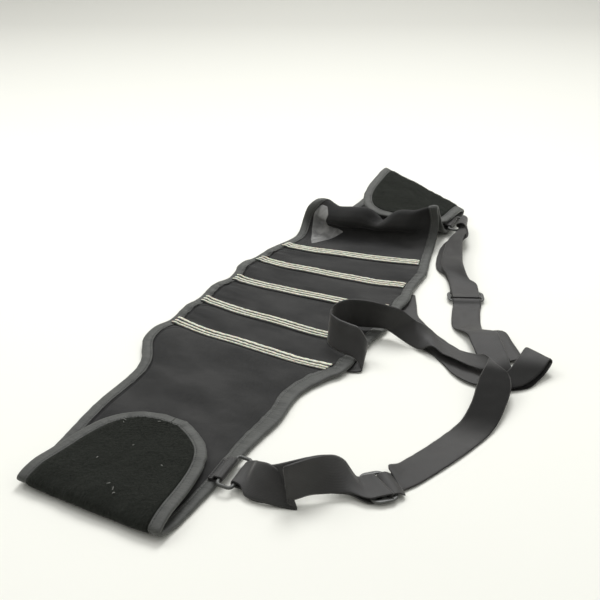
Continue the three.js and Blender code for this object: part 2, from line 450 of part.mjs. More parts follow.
// ---- sliders: oval plate with two slots ----
function slider({ x, y, z, yaw }) {
  const hl = SLIDER_L / 2, hd = SLIDER_D / 2, b = SLIDER_BAR, shape = new THREE.Shape();
  const oval = (target, x0, x1, y0, y1, r) => {
    target.moveTo(x0 + r, y0); target.lineTo(x1 - r, y0); target.absarc(x1 - r, y0 + r, r, -Math.PI / 2, 0);
    target.lineTo(x1, y1 - r); target.absarc(x1 - r, y1 - r, r, 0, Math.PI / 2);
    target.lineTo(x0 + r, y1); target.absarc(x0 + r, y1 - r, r, Math.PI / 2, Math.PI);
    target.lineTo(x0, y0 + r); target.absarc(x0 + r, y0 + r, r, Math.PI, Math.PI * 1.5);
  };
  oval(shape, -hl, hl, -hd, hd, 9);
  for (const s of [-1, 1]) {
    const hole = new THREE.Path(), y0 = b / 2, y1 = hd - b;
    oval(hole, -hl + 4.3, hl - 4.3, s > 0 ? y0 : -y1, s > 0 ? y1 : -y0, 1.5);
    shape.holes.push(hole);
  }
  const { shape: outer, holes } = shape.extractPoints(2);
  const clean = (ps) => ps.filter((p, i) => p.distanceTo(ps[(i + 1) % ps.length]) > 1e-6);
  const rings = [clean(outer), ...holes.map(clean)];
  if (THREE.ShapeUtils.isClockWise(rings[0])) rings[0].reverse();
  rings.slice(1).forEach(h => { if (!THREE.ShapeUtils.isClockWise(h)) h.reverse(); });
  const faces = THREE.ShapeUtils.triangulateShape(rings[0], rings.slice(1)), flat = rings.flat(), m = flat.length;
  const d = across({ yaw }), t = new THREE.Vector3(-d.y, d.x, 0), o = new THREE.Vector3(x, y, z);
  const verts = [-SLIDER_T / 2, SLIDER_T / 2].flatMap(h => flat.map(p => o.clone().addScaledVector(d, p.x).addScaledVector(t, p.y).add(new THREE.Vector3(0, 0, h))));
  const tris = faces.flatMap(([i, j, k]) => [[i, k, j], [i + m, j + m, k + m]]);
  let base = 0;
  for (const rg of rings) {
    rg.forEach((_, i) => { const j = (i + 1) % rg.length; tris.push([base + i, base + j, base + j + m], [base + i, base + j + m, base + i + m]); });
    base += rg.length;
  }
  return solid(verts, tris);
}
add('near_slider', slider(NEAR_SLIDER), PLASTIC);
add('far_slider', slider(FAR_SLIDER), PLASTIC);

// ---- ring tabs: a short webbing loop round the ring's inner bar, sewn to the belt ----
function ringTab(rg, reach, lower) {
  const d = across({ yaw: rg.yaw }), t = new THREE.Vector3(-d.y, d.x, 0);
  if (t.x < 0) t.negate();
  const tb = 1.2, s = rad(rg.slope), half = TAB_W / 2;
  const bar = new THREE.Vector3(rg.x, rg.y, rg.z).addScaledVector(t, -RING_D / 2 * Math.cos(s)).add(new THREE.Vector3(0, 0, -RING_D / 2 * Math.sin(s)));
  const r = RING_BAR / 2 + GAP + tb / 2, z0 = lower - bar.z + tb / 2, z1 = z0 + tb + 0.5, path = [[-reach, z1], [-reach * 0.6, z1], [-r * 2.2, Math.max(z1, r * 0.75)]];
  for (const a of [120, 90, 60, 30, 0, -30, -60, -90]) path.push([r * Math.cos(rad(a)), r * Math.sin(rad(a))]);
  path.push([-r * 2, Math.min(z0, -r * 0.3)], [-reach * 0.6, z0], [-reach, z0]);
  return sweep(path.map(([a, h], i) => {
    const [a0, h0] = path[Math.max(0, i - 1)], [a1, h1] = path[Math.min(path.length - 1, i + 1)], l = Math.hypot(a1 - a0, h1 - h0);
    const nx = -(h1 - h0) / l * tb / 2, nh = (a1 - a0) / l * tb / 2;
    const at = (u, k, q) => bar.clone().addScaledVector(t, u).addScaledVector(d, q).add(new THREE.Vector3(0, 0, k));
    return [at(a + nx, h + nh, -half), at(a + nx, h + nh, half), at(a - nx, h - nh, half), at(a - nx, h - nh, -half)];
  }));
}
add('near_ring_tab', ringTab(NEAR_RING, 12.5, 5.3), WEBBING);
add('far_ring_tab', ringTab(FAR_RING, 17, 8.6), WEBBING);

export default root;
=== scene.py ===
# Lumbosacral brace, visual model. Lengths below are millimetres in the CAD frame
# (+Z up, +Y along the belt from the near tab, +X across it towards the straps)
# and become metres when a mesh is made.
import math
import bmesh
import bpy
import numpy as np
from mathutils import Matrix, Vector


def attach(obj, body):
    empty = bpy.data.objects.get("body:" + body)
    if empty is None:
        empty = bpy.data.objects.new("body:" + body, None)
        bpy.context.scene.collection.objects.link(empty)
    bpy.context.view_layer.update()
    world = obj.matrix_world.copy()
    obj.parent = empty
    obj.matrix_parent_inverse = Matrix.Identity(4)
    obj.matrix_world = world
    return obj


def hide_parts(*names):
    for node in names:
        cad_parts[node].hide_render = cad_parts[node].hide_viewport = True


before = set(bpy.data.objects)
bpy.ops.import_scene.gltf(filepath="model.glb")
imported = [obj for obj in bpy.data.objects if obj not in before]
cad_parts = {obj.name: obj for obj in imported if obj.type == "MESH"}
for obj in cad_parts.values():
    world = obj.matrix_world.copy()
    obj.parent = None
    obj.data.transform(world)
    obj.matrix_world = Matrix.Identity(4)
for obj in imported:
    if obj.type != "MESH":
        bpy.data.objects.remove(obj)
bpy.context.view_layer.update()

MM = 0.001

# ------------------------------------------------------------------ camera
scene = bpy.context.scene
CAM_AT = Vector((0.520960, -1.033283, 0.588336))
CAM_FWD = Vector((-0.40968, 0.79034, -0.45554))
cam_data = bpy.data.cameras.new("photo_camera")
cam_data.lens, cam_data.sensor_width = 60.0, 36.0
cam_data.clip_start, cam_data.clip_end = 0.01, 50
cam = bpy.data.objects.new("photo_camera", cam_data)
scene.collection.objects.link(cam)
cam.matrix_world = Matrix.Translation(CAM_AT) @ CAM_FWD.to_track_quat("-Z", "Y").to_matrix().to_4x4()
scene.camera = cam

# ------------------------------------------------------------------ sizes
WALL, GAP = 2.4, 0.3
BIND_T, BIND_W = 0.8, 13.0
PILE_T = 1.6
TAPE_W, TAPE_T = 19.0, 0.8
BEAD_H, BEAD_W, BEAD_PITCH = 1.0, 2.6, 5.5
STRAP_W, STRAP_T = 36.0, 1.5
RING_BAR, RING_L, RING_D = 3.6, 51.0, 15.0
TAB_W = 36.0
SLIDER_L, SLIDER_D, SLIDER_T, SLIDER_BAR = 47.0, 27.0, 2.4, 4.2
REST_Z = WALL / 2
EDGE = BIND_T + GAP + 0.25
HALF = WALL / 2 + GAP
OUTER = HALF + BIND_T
RIM = EDGE - BIND_T

# left and right outer edge of the belt's mid surface, section by section
BELT = [
    # name          xl    yl    zl     xr    yr    zr   flat lean drop dip
    ("near_tip", -6, -321, 5.2, 22, -322, 5.2, 0, 0, 0, 0),
    ("near_tip2", -33, -329, 5.4, 45, -336, 5.5, 0, 0, 0, 0),
    ("near_cap", -54, -354, 7.6, 67, -356, 7.6, 0, 0, 0, 0),
    ("near_cap2", -62, -386, 10.0, 82, -387, 10.0, 0, 0, 0, 0),
    ("near_tab", -66, -430, 12.0, 91, -430, 12.5, 0, 0, 0, 0),
    ("near_top", -67, -460, 15.0, 96, -464, 15.5, 0, 0, 0, 0),
    ("near_fold", -68.5, -478.5, 9.0, 98.5, -484, 9.4, 0, 0, 0, 0),
    ("near_foot", -70, -462, 3.1, 100.5, -467, 2.9, 1, 0, 0, 0),
    ("wing_a", -76, -410, 2.8, 102, -411, 2.8, 1, 0, 0, 0),
    ("wing_b", -88, -330, 2.8, 100.5, -323, 2.8, 1, 0, 0, 0),
    ("wing_c", -89, -266, 2.9, 104, -268, 2.8, 1, 0, 0, 0),
    ("shoulder_a", -98, -235, 3.5, 98, -226, 2.8, 1, 0, 0, 0),
    ("shoulder_b", -120, -203, 6.0, 103, -199, 3.0, 1, 0, 0, 0),
    ("shoulder_c", -127, -166, 5.0, 114, -173, 4.0, 1, 0, 0, 0),
    ("tape_1", -121, -142, 3.0, 122, -161, 5.0, 1, 0, 0, 0),
    ("mid_12", -122.5, -107.5, 7.0, 124, -121.5, 6.5, 1, 0, 0, 0),
    ("tape_2", -121.5, -76, 3.0, 120.5, -90, 5.5, 1, 0, 0, 0),
    ("mid_23", -123.5, -38.5, 7.0, 126, -40, 4.2, 1, 0, 0, 0),
    ("tape_3", -117, -4, 3.0, 121.5, 10, 5.5, 1, 0, 0, 0),
    ("mid_34", -123, 30, 9.0, 122, 44, 6.5, 1, 0, 0, 0),
    ("tape_4", -120, 64.5, 3.0, 114, 76, 5.0, 1, 0, 0, 0),
    ("mid_45", -114, 88, 7.0, 113, 124, 4.0, 1, 0, 0, 0),
    ("tape_5", -111.5, 122.5, 3.0, 103.5, 159, 3.0, 1, 0, 0, 0),
    ("far_a", -105.5, 145.5, 3.0, 97, 185, 3.0, 1, 0, 0, 0),
    ("far_foot", -103.5, 165, 5.0, 92, 208.5, 5.0, 1, 0, 0, 0),
    ("far_back", -106.5, 186.5, 20.0, 89, 229, 18.0, 0, -5, 6, 0),
    ("far_rise", -103, 192, 37.0, 87, 237, 38.0, 0, 18, 11, 3),
    ("far_crest", -94, 203, 47.5, 85, 231, 59.0, 0, 4, 7, 19),
    ("far_over", -87, 213, 45.0, 84, 241, 54.0, 0, 2, 8, 20),
    ("far_down", -83, 233, 24.0, 86, 251, 30.0, 0, 6, 5, 4),
    ("far_valley", -80, 262, 9.0, 88, 270, 5.5, 0, 3, 2, 0),
    ("far_run", -75, 312, 6.0, 88, 318, 3.5, 0, 0, 0, 0),
    ("far_under", -67, 386, 22.0, 87, 345, 3.3, 0, 0, 0, 0),
    ("far_fold", -66, 404, 33.0, 86, 354, 7.2, 0, 0, 0, 0),
    ("far_top", -64, 393, 42.0, 86, 347, 13.0, 0, 0, 0, 0),
    ("far_tab", -61, 345, 40.0, 87, 317, 18.0, 0, 0, 0, 0),
    ("far_cap", -57, 303, 36.0, 85, 280, 18.5, 0, 0, 0, 0),
    ("far_cap2", -49, 276, 31.0, 75, 258, 22.0, 0, 0, 0, 0),
    ("far_tip2", -31, 252, 27.0, 50, 246, 24.0, 0, 0, 0, 0),
    ("far_tip", -8, 243, 25.0, 24, 243, 24.5, 0, 0, 0, 0),
]
# strap routes: x, y, z of the centre, yaw and tilt of the width, and where the strap
# is doubled the second layer's depth (None: upper layer only) and sideways slip
NEAR_DOUBLE = [
    (116, -373.5, 10.5, 94, 0, 6.2, 0), (123.5, -374, 11.4, 95, 9, 5, 0), (133, -383, 14.4, 93, 34, 4, 0), (151.5, -386.5, 17.2, 101, 51, 4, 0),
    (173.2, -382, 12.8, 147, 44, None, 0), (172.5, -389, 25.4, 134, 75, None, 0), (177.5, -382, 25.6, 134, 75, None, 0), (186, -368.5, 24.8, 129, 72, 3.4, 0),
    (196.5, -354.5, 22, 122, 57, 2.8, 0), (204, -345, 18.4, 122, 40, 2.8, 0), (211.5, -339, 14, 125, 23, 2.8, 0),
]
NEAR_SLIDER = (238.2, -328.2, 4.0, 134)
NEAR_SINGLE = [
    (248, -309.5, 4.6, 137, 9), (254.5, -294, 2.2, 143, 3), (264.5, -266, 1.2, 162, 0), (277, -228, 1.2, 164, 0),
    (287, -186, 2.2, 172, 0), (287.8, -152, 8, 184, 0), (283, -115, 15, 187, 0), (276, -84, 18, 143, 0),
    (265.2, -75.5, 15.2, 133, 0), (252, -73.5, 10.4, 119, 0), (229, -65.5, 7, 108, -8), (215, -61, 6.8, 110, -8),
    (202.5, -57, 7.4, 111, -6), (185, -51, 13.4, 112, 6), (171, -55, 15, 120, 42), (147, -48, 18.2, 8, 38),
    (136, -49, 24.2, 4, 56), (124, -51, 26, 2, 70), (100, -55, 26.6, 60, 84), (82, -63, 26.6, 120, 86),
    (74, -82, 26.8, 185, 88), (78, -104, 26.8, 235, 97), (91, -115, 26.6, 82, 72), (107, -120, 26.6, 92, 68),
    (121, -123, 26.2, 98, 64), (130.5, -125, 17.4, 102, 46), (133, -125, 9.8, 102, 26), (128.5, -127.5, 3.2, 99, 6),
    (119, -130, 1.3, 96, 0), (98, -130, 1.3, 94, 0),
]
FAR_DOUBLE = [
    (103, 294, 14.4, -84, 0, 6.2, 0), (109.5, 290, 16, -80, 6, 5.4, 0), (116, 265, 18, -60, 13, 6, 0), (115.3, 243, 16.4, -45, 17, 5.6, 6),
    (117.7, 221.2, 15.4, -33, 18, 5, 12), (128.7, 181.8, 14.5, -21, 16, 5, 13), (140.7, 147, 14.8, -12, 20, 4.6, 10), (155, 129, 9.6, -14, 8, 4, 4),
    (167, 115, 8, 10, 6, 3.8, 0),
]
FAR_SLIDER = (181, 87, 4.0, 25)
FAR_SINGLE = [
    (193, 55, 1.8, 29, 0), (206, 18, 1.4, 18, 0), (213, 6, 4, 14, 4), (232.5, -6.5, 10.4, 26, 4),
    (245.5, -26, 9.4, 34, 3), (261, -48, 4.6, 42, 2), (275, -72, 1, 48, 0), (290, -86, 1, 88, 0),
    (301.5, -75, 1.2, 132, 0), (305.2, -59, 4, 154, 0), (309.5, -44, 9.2, 156, 0), (310, -32.3, 13.2, 156, 0),
    (308.5, -34, 16.2, 156, 0), (306.2, -45.5, 13.6, 156, 0), (302.8, -61, 8.6, 152, 0), (297, -79, 5.4, 131, 0),
    (284, -91, 3.8, 104, 0), (264, -93, 3.4, 92, 0), (250, -91, 3, 80, 0), (238, -83, 2, 60, 0),
    (225.7, -70.6, 1.1, 48, 0), (208, -56.5, 1.1, 48, 0), (187, -44.5, 1.1, 47, 0), (166, -30, 1.1, 45, 0),
    (147, -13.5, 1.1, 40, 0), (128.5, 6, 1.1, 29, 0), (115, 34.5, 1.1, 22, 0), (103, 60, 1.1, 21, 0),
]
NEAR_RING = (109.5, -375, 8.2, 94, -6)
FAR_RING = (95.5, 295, 11.8, -84, -4)


# ------------------------------------------------------------------ small tools
def ss(x, a, b):
    t = np.clip((np.asarray(x, float) - a) / (b - a), 0, 1)
    return t * t * (3 - 2 * t)


def unit(v):
    return v / np.maximum(np.linalg.norm(v, axis=-1, keepdims=True), 1e-9)


def dot(a, b):
    return (a * b).sum(-1, keepdims=True)


def waves(seed, scale, lean=0.0, fan=math.pi, n=18, spread=(0.7, 1.6)):
    """Smooth seeded noise of two coordinates, about -2 to 2, with ridges square to lean."""
    g = np.random.default_rng(seed)
    a = lean + g.uniform(-fan / 2, fan / 2, n)
    k = 2 * math.pi / (scale * g.uniform(*spread, n))
    ph = g.uniform(0, 2 * math.pi, n)

    def f(x, y):
        out = np.zeros(np.broadcast(x, y).shape)
        for i in range(n):
            out += np.sin(k[i] * (x * math.cos(a[i]) + y * math.sin(a[i])) + ph[i])
        return np.clip(out / math.sqrt(n / 2), -2.2, 2.2)

    return f


def crom(P, x):
    """Centripetal Catmull-Rom through the rows of P, at row coordinates x."""
    x = np.clip(np.asarray(x, float), 0, len(P) - 1)
    i = np.minimum(np.floor(x).astype(int), len(P) - 2)
    t = (x - i)[..., None]
    ext = np.vstack([2 * P[0] - P[1], P, 2 * P[-1] - P[-2]])
    p0, p1, p2, p3 = ext[i], ext[i + 1], ext[i + 2], ext[i + 3]

    def d(a, b):
        return ((a - b) ** 2).sum(-1, keepdims=True) ** 0.25

    d0, d1, d2 = d(p0, p1), d(p1, p2), d(p2, p3)
    d1 = np.where(d1 < 1e-4, 1.0, d1)
    d0 = np.where(d0 < 1e-4, d1, d0)
    d2 = np.where(d2 < 1e-4, d1, d2)
    m1 = ((p1 - p0) / d0 - (p2 - p0) / (d0 + d1) + (p2 - p1) / d1) * d1
    m2 = ((p2 - p1) / d1 - (p3 - p1) / (d1 + d2) + (p3 - p2) / d2) * d1
    return p1 + m1 * t + (-3 * p1 + 3 * p2 - 2 * m1 - m2) * t**2 + (2 * p1 - 2 * p2 + m1 + m2) * t**3


# ------------------------------------------------------------------ meshes
def add_mesh(name, verts, faces, mats, uv=None, attrs=None, index=None, join=False, turn=True):
    """A mesh object from points in mm. faces is a list of index arrays, one for each corner count."""
    me = bpy.data.meshes.new(name)
    verts = np.array(verts, float).reshape(-1, 3)
    if name != "floor":
        verts[:, 2] = np.maximum(verts[:, 2], -0.3)
    faces = [np.asarray(f, np.int32) for f in faces if len(f)]
    loops = np.concatenate([f.ravel() for f in faces])
    size = np.concatenate([np.full(len(f), f.shape[1]) for f in faces])
    me.vertices.add(len(verts))
    me.vertices.foreach_set("co", (verts * MM).astype(np.float32).ravel())
    me.loops.add(len(loops))
    me.loops.foreach_set("vertex_index", loops)
    me.polygons.add(len(size))
    me.polygons.foreach_set("loop_start", np.concatenate([[0], np.cumsum(size)[:-1]]).astype(np.int32))
    if index is not None:
        me.polygons.foreach_set("material_index", np.asarray(index, np.int32))
    me.update(calc_edges=True)
    if uv is not None:
        layer = me.uv_layers.new(name="weave")
        layer.data.foreach_set("uv", np.asarray(uv, np.float32).reshape(-1, 2)[loops].ravel())
    for key, values in (attrs or {}).items():
        a = me.attributes.new(key, "FLOAT", "POINT")
        a.data.foreach_set("value", np.asarray(values, np.float32).ravel())
    if join or turn:
        bm = bmesh.new()
        bm.from_mesh(me)
        if join:
            bmesh.ops.remove_doubles(bm, verts=bm.verts, dist=2e-6)
            bmesh.ops.dissolve_degenerate(bm, edges=bm.edges, dist=1e-7)
        if turn:
            bmesh.ops.recalc_face_normals(bm, faces=bm.faces)
        bm.to_mesh(me)
        bm.free()
    me.polygons.foreach_set("use_smooth", np.ones(len(me.polygons), bool))
    for m in mats if isinstance(mats, (list, tuple)) else [mats]:
        me.materials.append(m)
    ob = bpy.data.objects.new(name, me)
    scene.collection.objects.link(ob)
    return ob


def grid_faces(nu, nv, base=0, close=False):
    i, j = np.meshgrid(np.arange(nu - 1), np.arange(nv if close else nv - 1), indexing="ij")
    k = (j + 1) % nv
    return np.stack([base + i * nv + j, base + i * nv + k, base + (i + 1) * nv + k, base + (i + 1) * nv + j], -1).reshape(-1, 4)


def sweep_faces(nu, nv, strip=False):
    """Faces of a closed section of nv points swept through nu stations, with end caps.
    strip: the section is two lines of equal count, one forth and one back."""
    f = [grid_faces(nu, nv, close=True)]
    for row, turn in ((0, 1), (nu - 1, -1)):
        if strip:
            h = nv // 2
            a = np.arange(h - 1)
            q = np.stack([a, a + 1, nv - 2 - a, nv - 1 - a], -1)
            f.append(row * nv + q[:, ::turn])
        else:
            f.append((row * nv + np.arange(nv))[None, ::turn])
    return f


# ------------------------------------------------------------------ belt surface
LEFT = np.array([b[1:4] for b in BELT], float)
RIGHT = np.array([b[4:7] for b in BELT], float)
FLAT, LEAN, DROP, DIP = (np.array([b[k] for b in BELT], float) for k in (7, 8, 9, 10))
ROW = {b[0]: i for i, b in enumerate(BELT)}
LAST = len(BELT) - 1
TAPES = [ROW["tape_%d" % k] for k in range(1, 6)]
T1, T5 = TAPES[0], TAPES[-1]
EASE = 0.35


def section(r, w):
    a, b = crom(LEFT, r), crom(RIGHT, r)
    p = a + (b - a) * w[..., None]
    rows = np.arange(LAST + 1)
    lying = np.interp(r, rows, FLAT)
    z = REST_Z + (a[..., 2] - REST_Z) * (1 - ss(w, 0, 0.28)) + (b[..., 2] - REST_Z) * ss(w, 0.72, 1)
    p[..., 2] += (z - p[..., 2]) * lying
    mid = ss(w, 0.06, 0.2) * (1 - ss(w, 0.79, 0.975))
    p[..., 1] -= np.interp(r, rows, LEAN) * mid
    p[..., 2] -= np.interp(r, rows, DROP) * mid + np.interp(r, rows, DIP) * np.exp(-(((w - 0.56) / 0.08) ** 2))
    return p


def S(r, w):
    r, w = np.broadcast_arrays(np.asarray(r, float), np.asarray(w, float))

    def eased(rc):
        d = np.minimum(np.minimum(EASE, rc), LAST - rc)
        return (section(rc, w) * 2 + section(rc - d, w) + section(rc + d, w)) / 4

    rc = np.clip(r, 0, LAST)
    p = eased(rc)
    over = r - rc
    if np.any(over != 0):
        p = p + (p - eased(rc + np.where(over < 0, 0.1, -0.1))) * (np.abs(over) * 10)[..., None]
    return p


def frame_at(r, w):
    h = 0.02
    r, w = np.broadcast_arrays(np.asarray(r, float), np.asarray(w, float))
    r0, r1 = np.maximum(0, r - h), np.minimum(LAST, r + h)
    dr = (S(r1, w) - S(r0, w)) / (r1 - r0)[..., None]
    dw = (S(r, w + h) - S(r, w - h)) / (2 * h)
    return S(r, w), dr, dw, unit(np.cross(dw, dr))


R_TAB = np.linspace(0, LAST, 1600)
MID_LINE = S(R_TAB, np.full(1600, 0.5))
U_TAB = np.concatenate([[0], np.cumsum(np.linalg.norm(np.diff(MID_LINE, axis=0), axis=1))])
W_TAB = np.linalg.norm(S(R_TAB, np.zeros(1600)) - S(R_TAB, np.ones(1600)), axis=1)


def flat_uv(r, w):
    """Lengths along and across the belt, in mm."""
    rc = np.clip(r, 0, LAST)
    wide = np.interp(rc, R_TAB, W_TAB)
    return np.interp(rc, R_TAB, U_TAB) + (r - rc) * 25, w * wide, wide


BROAD = waves(11, 95, lean=0.75, fan=0.9)
CREASE = waves(12, 46, lean=0.9, fan=1.2)
PUFF = waves(13, 44, lean=0.2, fan=1.6)
GATHER = waves(14, 15, lean=0.0, fan=0.5)
SOFT = waves(15, 52)
TUCK = waves(16, 23, lean=0.3, fan=1.2)


def relief(r, w):
    """How far the cloth stands off the CAD surface: undulations, puffs between the tapes, gathers."""
    u, v, wide = flat_uv(r, w)
    inner = ss(v, 8, 34) * ss(wide - v, 8, 34)
    wing = ss(r, 9.3, 10.3) * (1 - ss(r, 13.3, 13.75))
    d = wing * inner * (1.5 * (1 + 0.6 * BROAD(u, v)) + 0.55 * (1 + 0.5 * CREASE(u, v)))
    off = np.min([np.abs(r - t) for t in TAPES], axis=0) * 34
    panel = ss(r, T1 + 0.1, T1 + 0.5) * (1 - ss(r, T5 - 0.5, T5 - 0.1)) * ss(off, 9.5, 19)
    d += panel * inner * (0.75 + 0.4 * PUFF(u, v))
    gather = np.exp(-np.maximum(v - 12, 0) / 22) * ss(v, 4, 12)
    d += panel * gather * 0.42 * (1.2 + GATHER(u, v))
    gather = np.exp(-np.maximum(wide - v - 12, 0) / 18) * ss(wide - v, 4, 12)
    d += panel * gather * 0.35 * (1.2 + GATHER(u, v + 300))
    far = ss(r, 23.2, 24.2) * (1 - ss(r, 31.2, 31.8))
    d += far * ss(v, 5, 20) * ss(wide - v, 5, 20) * (0.55 * SOFT(u, v) + 0.3 * TUCK(u, v))
    tab = (1 - ss(r, 5.6, 6.4)) + ss(r, 33.2, 34)
    d += tab * inner * 0.45 * SOFT(u + 40, v)
    return d


def SD(r, w):
    p, _, _, n = frame_at(r, w)
    return p + n * relief(r, w)[..., None], n


def edge_point(side, s):
    k = np.where(s < 0, -s / 2, np.where(s > LAST, (s - LAST) / 2, 0))
    return np.clip(s, 0, LAST), (1 - k if side else k)


def inset(side, s, d):
    """Section coordinates a distance d in from an edge, square to it, and that direction."""
    s = np.asarray(s, float)
    r, w = edge_point(side, s)
    h = np.where((s < 2) | (s > LAST - 2), 0.3, 0.06)
    p, _, _, n = frame_at(r, w)
    t = unit(S(*edge_point(side, s + h)) - S(*edge_point(side, s - h)))
    e = unit(np.cross(t, n))
    e = np.where(dot(e, S(np.clip(s, 1.5, LAST - 1.5), np.full(s.shape, 0.5)) - p) < 0, -e, e)
    target = p + e * np.asarray(d, float).reshape(-1 if np.ndim(d) else 1)[:, None]
    for _ in range(8):
        g, dr, dw, _ = frame_at(r, w)
        res = target - g
        rr, rw, ww = (dr * dr).sum(-1), (dr * dw).sum(-1), (dw * dw).sum(-1)
        det = rr * ww - rw * rw
        br, bw = (dr * res).sum(-1), (dw * res).sum(-1)
        r, w = r + 0.7 * (br * ww - bw * rw) / det, w + 0.7 * (bw * rr - br * rw) / det
    return r, w, e, t


def bow(s):
    k = np.minimum(s, LAST - s)
    return np.interp(k, [-1, -0.5, 0, 0.5, 1, 1.5, 2], [0, 2.5, 5, 4, 2.5, 1, 0]) * np.where(s > LAST / 2, -1, 1)


def spread_rows(keys, step):
    """Row coordinates about step mm apart between the given ones."""
    out = []
    for a, b in zip(keys[:-1], keys[1:]):
        x = np.linspace(a, b, 30)
        rc = np.clip(x, 0, LAST)
        lengths = [np.linalg.norm(np.diff(S(rc, np.full(30, q)), axis=0), axis=1).sum() for q in (0.0, 0.5, 1.0)]
        length = max(max(lengths), 28 * abs(b - a) if (a < 0 or b > LAST) else 0)
        out += list(np.linspace(a, b, max(1, int(math.ceil(length / step))) + 1)[:-1])
    return np.array(out + [keys[-1]])


ZONE = [EDGE, 4.0, 7.0, 10.0, BIND_W]


def belt_grid(s, cols, zone=ZONE):
    """Section coordinates of a grid: zone distances in from each edge, and cols between."""
    s = np.asarray(s, float)
    tip = (s <= -1) | (s >= LAST + 1)
    le = [inset(0, s, d)[:2] for d in zone]
    ri = [inset(1, s, d)[:2] for d in zone]
    ri = [(np.where(tip, a[0], b[0]), np.where(tip, a[1], b[1])) for a, b in zip(le, ri)]
    (br, bw), (cr, cw) = le[-1], ri[-1]
    R, W = [a[0] for a in le], [a[1] for a in le]
    for v in cols:
        r, w = br + (cr - br) * v, bw + (cw - bw) * v
        dr = frame_at(r, w)[1]
        R.append(np.where(tip, br, r + bow(s) * (1 - (2 * v - 1) ** 2) / np.linalg.norm(dr, axis=-1)))
        W.append(np.where(tip, bw, w))
    R += [a[0] for a in ri[::-1]]
    W += [a[1] for a in ri[::-1]]
    return np.stack(R, 1), np.stack(W, 1)


# ------------------------------------------------------------------ materials
def node(nt, kind, **values):
    n = nt.nodes.new(kind)
    for key, value in values.items():
        if key.startswith("_"):
            setattr(n, key[1:], value)
        else:
            name = key.replace("_", " ")
            n.inputs[int(key[1:]) if key[0] == "i" and key[1:].isdigit() else name].default_value = value
    return n


class Mat:
    """A principled material with helpers that chain nodes."""

    def __init__(self, name, rough=0.8, **sockets):
        self.m = bpy.data.materials.new(name)
        self.m.use_nodes = True
        self.nt = self.m.node_tree
        self.b = self.nt.nodes["Principled BSDF"]
        self.b.inputs["Roughness"].default_value = rough
        for key, value in sockets.items():
            self.b.inputs[key.replace("_", " ")].default_value = value
        self.uv = node(self.nt, "ShaderNodeUVMap", _uv_map="weave").outputs[0]
        self.obj = node(self.nt, "ShaderNodeTexCoord").outputs["Object"]

    def link(self, a, b):
        self.nt.links.new(a, b)
        return b

    def scaled(self, src, sx, sy, sz=1.0, turn=0.0):
        n = node(self.nt, "ShaderNodeMapping")
        n.inputs["Scale"].default_value = (sx, sy, sz)
        n.inputs["Rotation"].default_value = (0, 0, turn)
        self.link(src, n.inputs["Vector"])
        return n.outputs[0]

    def noise(self, src, scale, detail=4.0, rough=0.55, distort=0.0):
        n = node(self.nt, "ShaderNodeTexNoise", Scale=scale, Detail=detail, Roughness=rough, Distortion=distort)
        self.link(src, n.inputs["Vector"])
        return n.outputs["Fac"]

    def wave(self, src, scale, axis="X", distort=0.0, detail=1.0, profile="SIN"):
        n = node(self.nt, "ShaderNodeTexWave", Scale=scale, Distortion=distort, Detail=detail, _wave_type="BANDS", _bands_direction=axis, _wave_profile=profile)
        n.inputs["Detail Scale"].default_value = 2.0
        self.link(src, n.inputs["Vector"])
        return n.outputs["Fac"]

    def attr(self, name):
        return node(self.nt, "ShaderNodeAttribute", _attribute_name=name).outputs["Fac"]

    def math(self, op, a, b=None, clamp=False):
        n = node(self.nt, "ShaderNodeMath", _operation=op, _use_clamp=clamp)
        for k, x in enumerate((a, b)):
            if x is None:
                continue
            if isinstance(x, (int, float)):
                n.inputs[k].default_value = x
            else:
                self.link(x, n.inputs[k])
        return n.outputs[0]

    def fit(self, x, a, b, c, d):
        n = node(self.nt, "ShaderNodeMapRange")
        for k, value in zip(("From Min", "From Max", "To Min", "To Max"), (a, b, c, d)):
            n.inputs[k].default_value = value
        self.link(x, n.inputs["Value"])
        return n.outputs[0]

    def ramp(self, x, stops):
        n = node(self.nt, "ShaderNodeValToRGB")
        while len(n.color_ramp.elements) < len(stops):
            n.color_ramp.elements.new(0.5)
        for el, (pos, col) in zip(n.color_ramp.elements, stops):
            el.position, el.color = pos, (*col, 1)
        self.link(x, n.inputs[0])
        return n.outputs[0]

    def mix(self, fac, a, b, blend="MIX"):
        n = node(self.nt, "ShaderNodeMix", _data_type="RGBA", _blend_type=blend)
        sockets = [n.inputs[0], n.inputs[6], n.inputs[7]]
        for s, x in zip(sockets, (fac, a, b)):
            if isinstance(x, (int, float)):
                s.default_value = x
            elif isinstance(x, tuple):
                s.default_value = (*x, 1)
            else:
                self.link(x, s)
        return n.outputs[2]

    def colour(self, x):
        self.link(x, self.b.inputs["Base Color"])

    def rough(self, x):
        self.link(x, self.b.inputs["Roughness"])

    def bump(self, x, distance, strength=1.0, after=None):
        n = node(self.nt, "ShaderNodeBump", Strength=strength, Distance=distance)
        self.link(x, n.inputs["Height"])
        if after is not None:
            self.link(after, n.inputs["Normal"])
        self.link(n.outputs[0], self.b.inputs["Normal"])
        return n.outputs[0]


def weave(m, pitch):
    """Height of a plain weave: warp and weft threads at a pitch in mm."""
    a = m.wave(m.scaled(m.uv, 1, 1), 0.31416 / pitch * 1.0, "X", 0.6)
    b = m.wave(m.scaled(m.uv, 1, 1), 0.31416 / pitch * 1.0, "Y", 0.6)
    return m.math("MAXIMUM", a, b)


